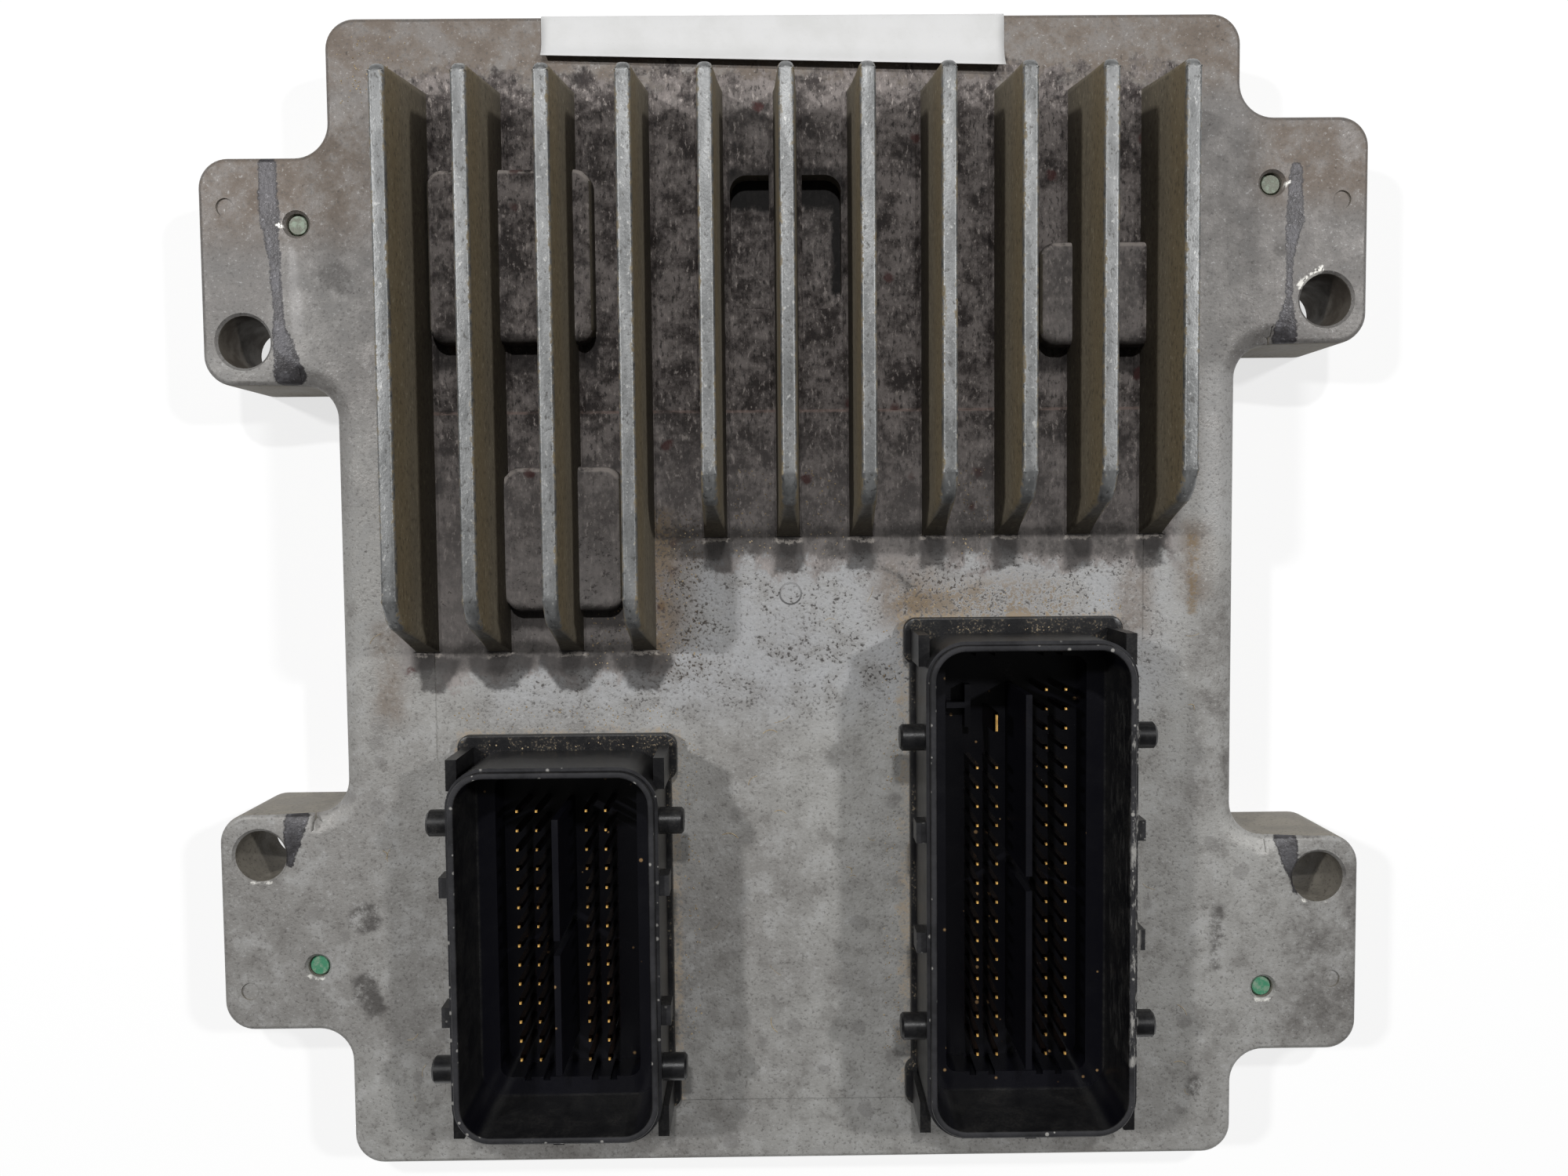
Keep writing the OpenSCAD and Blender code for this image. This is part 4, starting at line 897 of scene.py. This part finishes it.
def on_fin_end(p, edge):
    """The slanted edges where a fin's sides meet its ends."""
    sideways = max(abs(f.normal.x) for f in edge.link_faces)
    endways = max(abs(f.normal.y) for f in edge.link_faces)
    climb = abs(edge.verts[0].co.z - edge.verts[1].co.z)
    return p.z > 15 and among_fins(p) and sideways > 0.9 and endways > 0.3 and climb > 0.02 * MM


def skin_of(face):
    """0 for the flat skin, 1 for fins, 2 for walls and the inside."""
    middle = face.calc_center_median() / MM
    if among_fins(middle) and middle.z > PLATE_Z:
        on_a_fin = middle.z > 17.2 or (middle.z > 14.2 and abs(face.normal.x) > 0.8)
        return 1 if on_a_fin else 0
    return 0 if face.normal.z > 0.4 and middle.z > 11 else 2


print("skins to choose from:", FLAT_SKIN.name, FIN_SKIN.name, WALL_SKIN.name)

# %% [markdown]
# The groups are rounded one after another, the fins first, because each step changes the edges beside
# it. A rounded corner can stand a few hundredths of a millimetre too high, so the top is cut to the
# height of the solids.

# %% Rounded casting edges
FIN_TOPS_FROM_Z = 29.5
mesh, work = merged_copy("housing")
counts = [round_off(work, on_fin_end, 0.75, 4),
          round_off(work, lambda p, edge: p.z > FIN_TOPS_FROM_Z, 0.4, 3),
          round_off(work, lambda p, edge: level(edge, BLOCK_Z), 1.1, 4),
          round_off(work, on_outline, 0.7, 3),
          round_off(work, on_panel, 0.2, 2),
          round_off(work, lambda p, edge: level(edge, 0.0), 0.3, 2)]
for vert in work.verts:
    vert.co.z = min(vert.co.z, cad_high.z)
finish_piece("cast_housing", mesh, work, [FLAT_SKIN, FIN_SKIN, WALL_SKIN],
             "housing", skin_of)
print("rounded edges by group:", counts)

# %% [markdown]
# The header shells get the same treatment with a finer radius. The rim is rounded on the outside
# and at the edge of the wells on the inside, and the lobes of the flange are rounded too.

# %% Rounded header shells
RIM_FROM_Z, FLANGE_Z = 28.6, 16.4
for side in ("left", "right"):
    mesh, work = merged_copy(side + "_header_shell")
    counts = [round_off(work, lambda p, edge: p.z > RIM_FROM_Z, 0.32, 3),
              round_off(work, lambda p, edge: level(edge, FLANGE_Z), 0.3, 2)]
    finish_piece(side + "_header_body", mesh, work, [HEADER_PLASTIC],
                 side + "_header_shell")
    print(side, "rounded edges by group:", counts)

# %% [markdown]
# Grit lies against the flanges and at the feet of the fins, and a few plant fibres lie on the plate.
# Each bed is a flat rectangle. A geometry node tree scatters points over it, puts a small pebble or a
# bent fibre on each with its own turn and size, and keeps only those. The seed is fixed.

# %% Beds and the scatter tree
GRIT_BEDS = [(-45.5, -17.2, -14.5, -14.0, PANEL_Z), (14.5, -2.0, 45.5, 1.5, PANEL_Z),
             (-14.7, -62, -12.5, -18, PANEL_Z), (12.5, -62, 14.7, -3, PANEL_Z),
             (-41.5, -19.4, -18.5, -18.6, FLANGE_Z), (18.5, -4.2, 41.5, -3.4, FLANGE_Z),
             (-27.3, -9.0, -21.5, 4.0, PANEL_Z), (-17.0, -8.0, -12.0, 12.0, PANEL_Z),
             (-7.5, 6.0, -2.3, 18.0, PANEL_Z), (2.3, 6.0, 7.5, 18.0, PANEL_Z),
             (21.8, 6.0, 27.0, 18.0, PANEL_Z), (-59, 66, -50, 75, PLATE_Z)]
FULL_TURN = 6.283
FIBRE_BEDS = [(-12, -64, 12, 5, PANEL_Z), (-57, -72, -46, 10, PLATE_Z), (49, -72, 57, 5, PLATE_Z)]


def bed_mesh(name, beds):
    verts, faces = [], []
    for x0, y0, x1, y1, z in beds:
        first = len(verts)
        verts += [Vector(p) * MM for p in ((x0, y0, z), (x1, y0, z), (x1, y1, z), (x0, y1, z))]
        faces.append(tuple(range(first, first + 4)))
    mesh = bpy.data.meshes.new(name)
    mesh.from_pydata(verts, [], faces)
    return mesh


def scatter_tree(name, stem, material):
    """Points over a mesh, each with one stem; stem(g, size) makes the geometry to repeat."""
    g = bpy.data.node_groups.new(name, "GeometryNodeTree")
    g.interface.new_socket("Bed", in_out="INPUT", socket_type="NodeSocketGeometry")
    for label, kind in (("Density", FLOAT), ("Size", FLOAT), ("Seed", "NodeSocketInt")):
        g.interface.new_socket(label, in_out="INPUT", socket_type=kind)
    g.interface.new_socket("Scattered", in_out="OUTPUT", socket_type="NodeSocketGeometry")
    bed, density, size, seed = g.nodes.new("NodeGroupInput").outputs[:4]
    points = g.nodes.new("GeometryNodeDistributePointsOnFaces")
    for label, value in (("Mesh", bed), ("Density", density), ("Seed", seed)):
        g.links.new(value, points.inputs[label])
    turn = add(g, "FunctionNodeRandomValue", (0, 0, 0), (0, 0, FULL_TURN), data_type="FLOAT_VECTOR")
    scale = add(g, "FunctionNodeRandomValue", (0.4, 0.4, 0.3), (1.3, 1.3, 0.9), data_type="FLOAT_VECTOR")
    placed = g.nodes.new("GeometryNodeInstanceOnPoints")
    for label, value in (("Points", points.outputs["Points"]), ("Instance", stem(g, size)),
                         ("Rotation", turn.outputs[0]), ("Scale", scale.outputs[0])):
        g.links.new(value, placed.inputs[label])
    real = add(g, "GeometryNodeRealizeInstances", placed.outputs[0])
    dressed = add(g, "GeometryNodeSetMaterial", real.outputs[0])
    dressed.inputs["Material"].default_value = material
    end = g.nodes.new("NodeGroupOutput")
    g.links.new(dressed.outputs[0], end.inputs[0])
    return g


def pebble(g, size):
    return add(g, "GeometryNodeMeshIcoSphere", size, 1).outputs["Mesh"]


def fibre(g, size):
    half, sag, lift = 0.9 * MM, 0.7 * MM, 0.1 * MM
    bend = add(g, "GeometryNodeCurveQuadraticBezier", 6, (-half, 0, 0), (0, sag, lift), (half, 0, 0))
    thin = add(g, "GeometryNodeCurvePrimitiveCircle", 4)
    g.links.new(size, thin.inputs["Radius"])
    return add(g, "GeometryNodeCurveToMesh", bend.outputs[0], thin.outputs[0]).outputs[0]


print("beds of grit and fibres:", len(GRIT_BEDS), len(FIBRE_BEDS))

# %% [markdown]
# The tree's inputs are set through their identifiers before the bed is evaluated for the first time.
# What comes out is a plain mesh of pebbles or fibres, and the bed itself is gone.

# %% Scattered grit and fibres
def scatter(name, beds, stem, material, density, size_mm, seed):
    """Evaluates the scatter once and keeps its mesh as a plain piece."""
    piece = new_object(name, bed_mesh(name, beds))
    g = scatter_tree(name, stem, material)
    modifier = piece.modifiers.new("scatter", "NODES")
    modifier.node_group = g
    values = {"Density": density, "Size": size_mm * MM, "Seed": seed}
    for item in g.interface.items_tree:
        if item.name in values:
            modifier[item.identifier] = values[item.name]
    mesh = keep_result(piece, modifier)
    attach(piece, "root")
    print(name, "faces:", len(mesh.polygons))


GRIT = make_inner("grit", (118, 102, 80), (162, 146, 118), 0.6, 0.85)
STRAW = make_inner("straw", (142, 122, 90), (180, 164, 132), 0.5, 0.8)
scatter("grit_grains", GRIT_BEDS, pebble, GRIT, density=1.0e6, size_mm=0.12, seed=7)
scatter("straw_fibres", FIBRE_BEDS, fibre, STRAW, density=8.0e3, size_mm=0.045, seed=3)

# %% [markdown]
# A blank strip of white paper is stuck along the top edge. It is a thin sheet whose lower edge has
# come away, and whose upper edge is folded down over the wall. Its profile is listed once, and each
# row of the mesh follows the strip's slightly slanted outline.

# %% Paper strip
PAPER_PROFILE = [(0.0, 1.5), (0.08, 1.05), (0.17, 0.6), (0.28, 0.28), (0.42, 0.1), (0.7, 0.06),
                 (0.93, 0.06)]
PAPER_FOLD = [(77.3, 13.98), (77.52, 13.7), (77.58, 13.2), (77.58, 11.5), (77.58, 9.4)]
PAPER_LEFT, PAPER_WIDTH, PAPER_COLUMNS = -32.0, 61.1, 48
PAPER_BOTTOM, PAPER_SLANT, PAPER_TOP = 72.0, 1.7, 77.5
PAPER_THICK_MM = 0.09


def make_paper():
    material, g, shader, place = new_finish("label_paper")
    mid = cloud(g, place, 6.0, 4.0, 0.6)
    pulp = cloud(g, place, 0.3, 3.0, 0.7)
    colour = mix(g, rise(g, mid, 0.4, 0.75), paint(195, 195, 195), paint(188, 188, 187))
    colour = flecks(g, pulp, colour, (0.6, 0.75, 0.3, (172, 171, 168)))
    wire(g, shader, Base_Color=colour, Roughness=0.55, Normal=bump(g, mid, 0.12, 0.5))
    return material


def paper_rows(share):
    """The points of one column, from the loose lower edge to the folded upper one, in mm."""
    x = PAPER_LEFT + PAPER_WIDTH * share
    bottom = PAPER_BOTTOM - PAPER_SLANT * share
    curl = 0.75 + 0.25 * share
    lying = [(x, bottom + (PAPER_TOP - bottom) * part, PLATE_Z + lift * curl + 0.02)
             for part, lift in PAPER_PROFILE]
    return lying + [(x, y, z) for y, z in PAPER_FOLD]


verts, faces = [], []
for column in range(PAPER_COLUMNS + 1):
    verts += [Vector(p) * MM for p in paper_rows(column / PAPER_COLUMNS)]
rows = len(verts) // (PAPER_COLUMNS + 1)
for column in range(PAPER_COLUMNS):
    for row in range(rows - 1):
        first = column * rows + row
        faces.append((first, first + rows, first + rows + 1, first + 1))
paper_mesh = bpy.data.meshes.new("paper_strip")
paper_mesh.from_pydata(verts, [], faces)
paper_mesh.materials.append(make_paper())
paper_mesh.polygons.foreach_set("use_smooth", [True] * len(paper_mesh.polygons))
paper = new_object("paper_strip", paper_mesh)
thick = paper.modifiers.new("thickness", "SOLIDIFY")
thick.thickness = PAPER_THICK_MM * MM
thick.offset = 1.0
keep_result(paper, thick)
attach(paper, "root")
print("paper strip faces:", len(paper.data.polygons))

# %% [markdown]
# The studio is one pale sheet under the unit. Seen by the camera it glows, which makes it white
# without more light on the metal, and the rest of its brightness is real, so the unit keeps its
# contact shadow. The world adds a little light from all round.

# %% Floor and world
SHEET_REACH_M, SHEET_DROP_MM, SHEET_GLOW, SKY_LIGHT = 3.0, 0.02, 0.72, 0.1


def make_floor_finish():
    material = bpy.data.materials.new("studio_sheet")
    material.use_nodes = True
    g = material.node_tree
    g.nodes.clear()
    path = g.nodes.new("ShaderNodeLightPath")
    seen = any_of(g, [path.outputs[f"Is {kind} Ray"] for kind in ("Camera", "Glossy", "Transmission")])
    matt = add(g, "ShaderNodeBsdfDiffuse", (0.9, 0.9, 0.9, 1))
    glow = add(g, "ShaderNodeEmission", (1, 1, 1, 1), 1.0)
    blended = add(g, "ShaderNodeMixShader", times(g, seen, SHEET_GLOW), matt.outputs[0], glow.outputs[0])
    end = g.nodes.new("ShaderNodeOutputMaterial")
    g.links.new(blended.outputs[0], end.inputs[0])
    return material


sheet_mesh = bpy.data.meshes.new("studio_sheet")
corners = [(x * SHEET_REACH_M, y * SHEET_REACH_M, 0) for x, y in ((-1, -1), (1, -1), (1, 1), (-1, 1))]
sheet_mesh.from_pydata(corners, [], [(0, 1, 2, 3)])
sheet_mesh.materials.append(make_floor_finish())
sheet = new_object("studio_sheet", sheet_mesh)
sheet.location.z = -SHEET_DROP_MM * MM

world = bpy.data.worlds.new("studio")
bpy.context.scene.world = world
world.use_nodes = True
sky = world.node_tree.nodes["Background"]
sky.inputs[0].default_value = (1, 1, 1, 1)
seen_sky = world.node_tree.nodes.new("ShaderNodeLightPath").outputs["Is Camera Ray"]
world.node_tree.links.new(rise(world.node_tree, seen_sky, 0.0, 1.0, SKY_LIGHT, 1.0), sky.inputs[1])
print("sheet reach in m:", SHEET_REACH_M)

# %% [markdown]
# Three small lamps make the shadows: one above the unit's upper end, and one at each side. They are
# only 3 or 4 cm across, so the fins draw clear shadows into the valleys. Each is turned to face the
# origin.

# %% Lamps
LAMPS = [("upper_lamp", (0.0, 0.42, 0.75), (0.04, 0.03), 3.0),
         ("left_lamp", (-0.43, 0.20, 0.58), (0.04, 0.04), 2.75),
         ("right_lamp", (0.43, 0.20, 0.58), (0.04, 0.04), 2.42)]

for name, place_m, size_m, watts in LAMPS:
    light = bpy.data.lights.new(name, "AREA")
    light.shape = "RECTANGLE"
    light.size, light.size_y = size_m
    light.energy = watts
    lamp = new_object(name, light)
    lamp.location = place_m
    lamp.rotation_mode = "QUATERNION"
    lamp.rotation_quaternion = Vector(place_m).to_track_quat("Z", "Y")
print("lamps:", len(LAMPS))
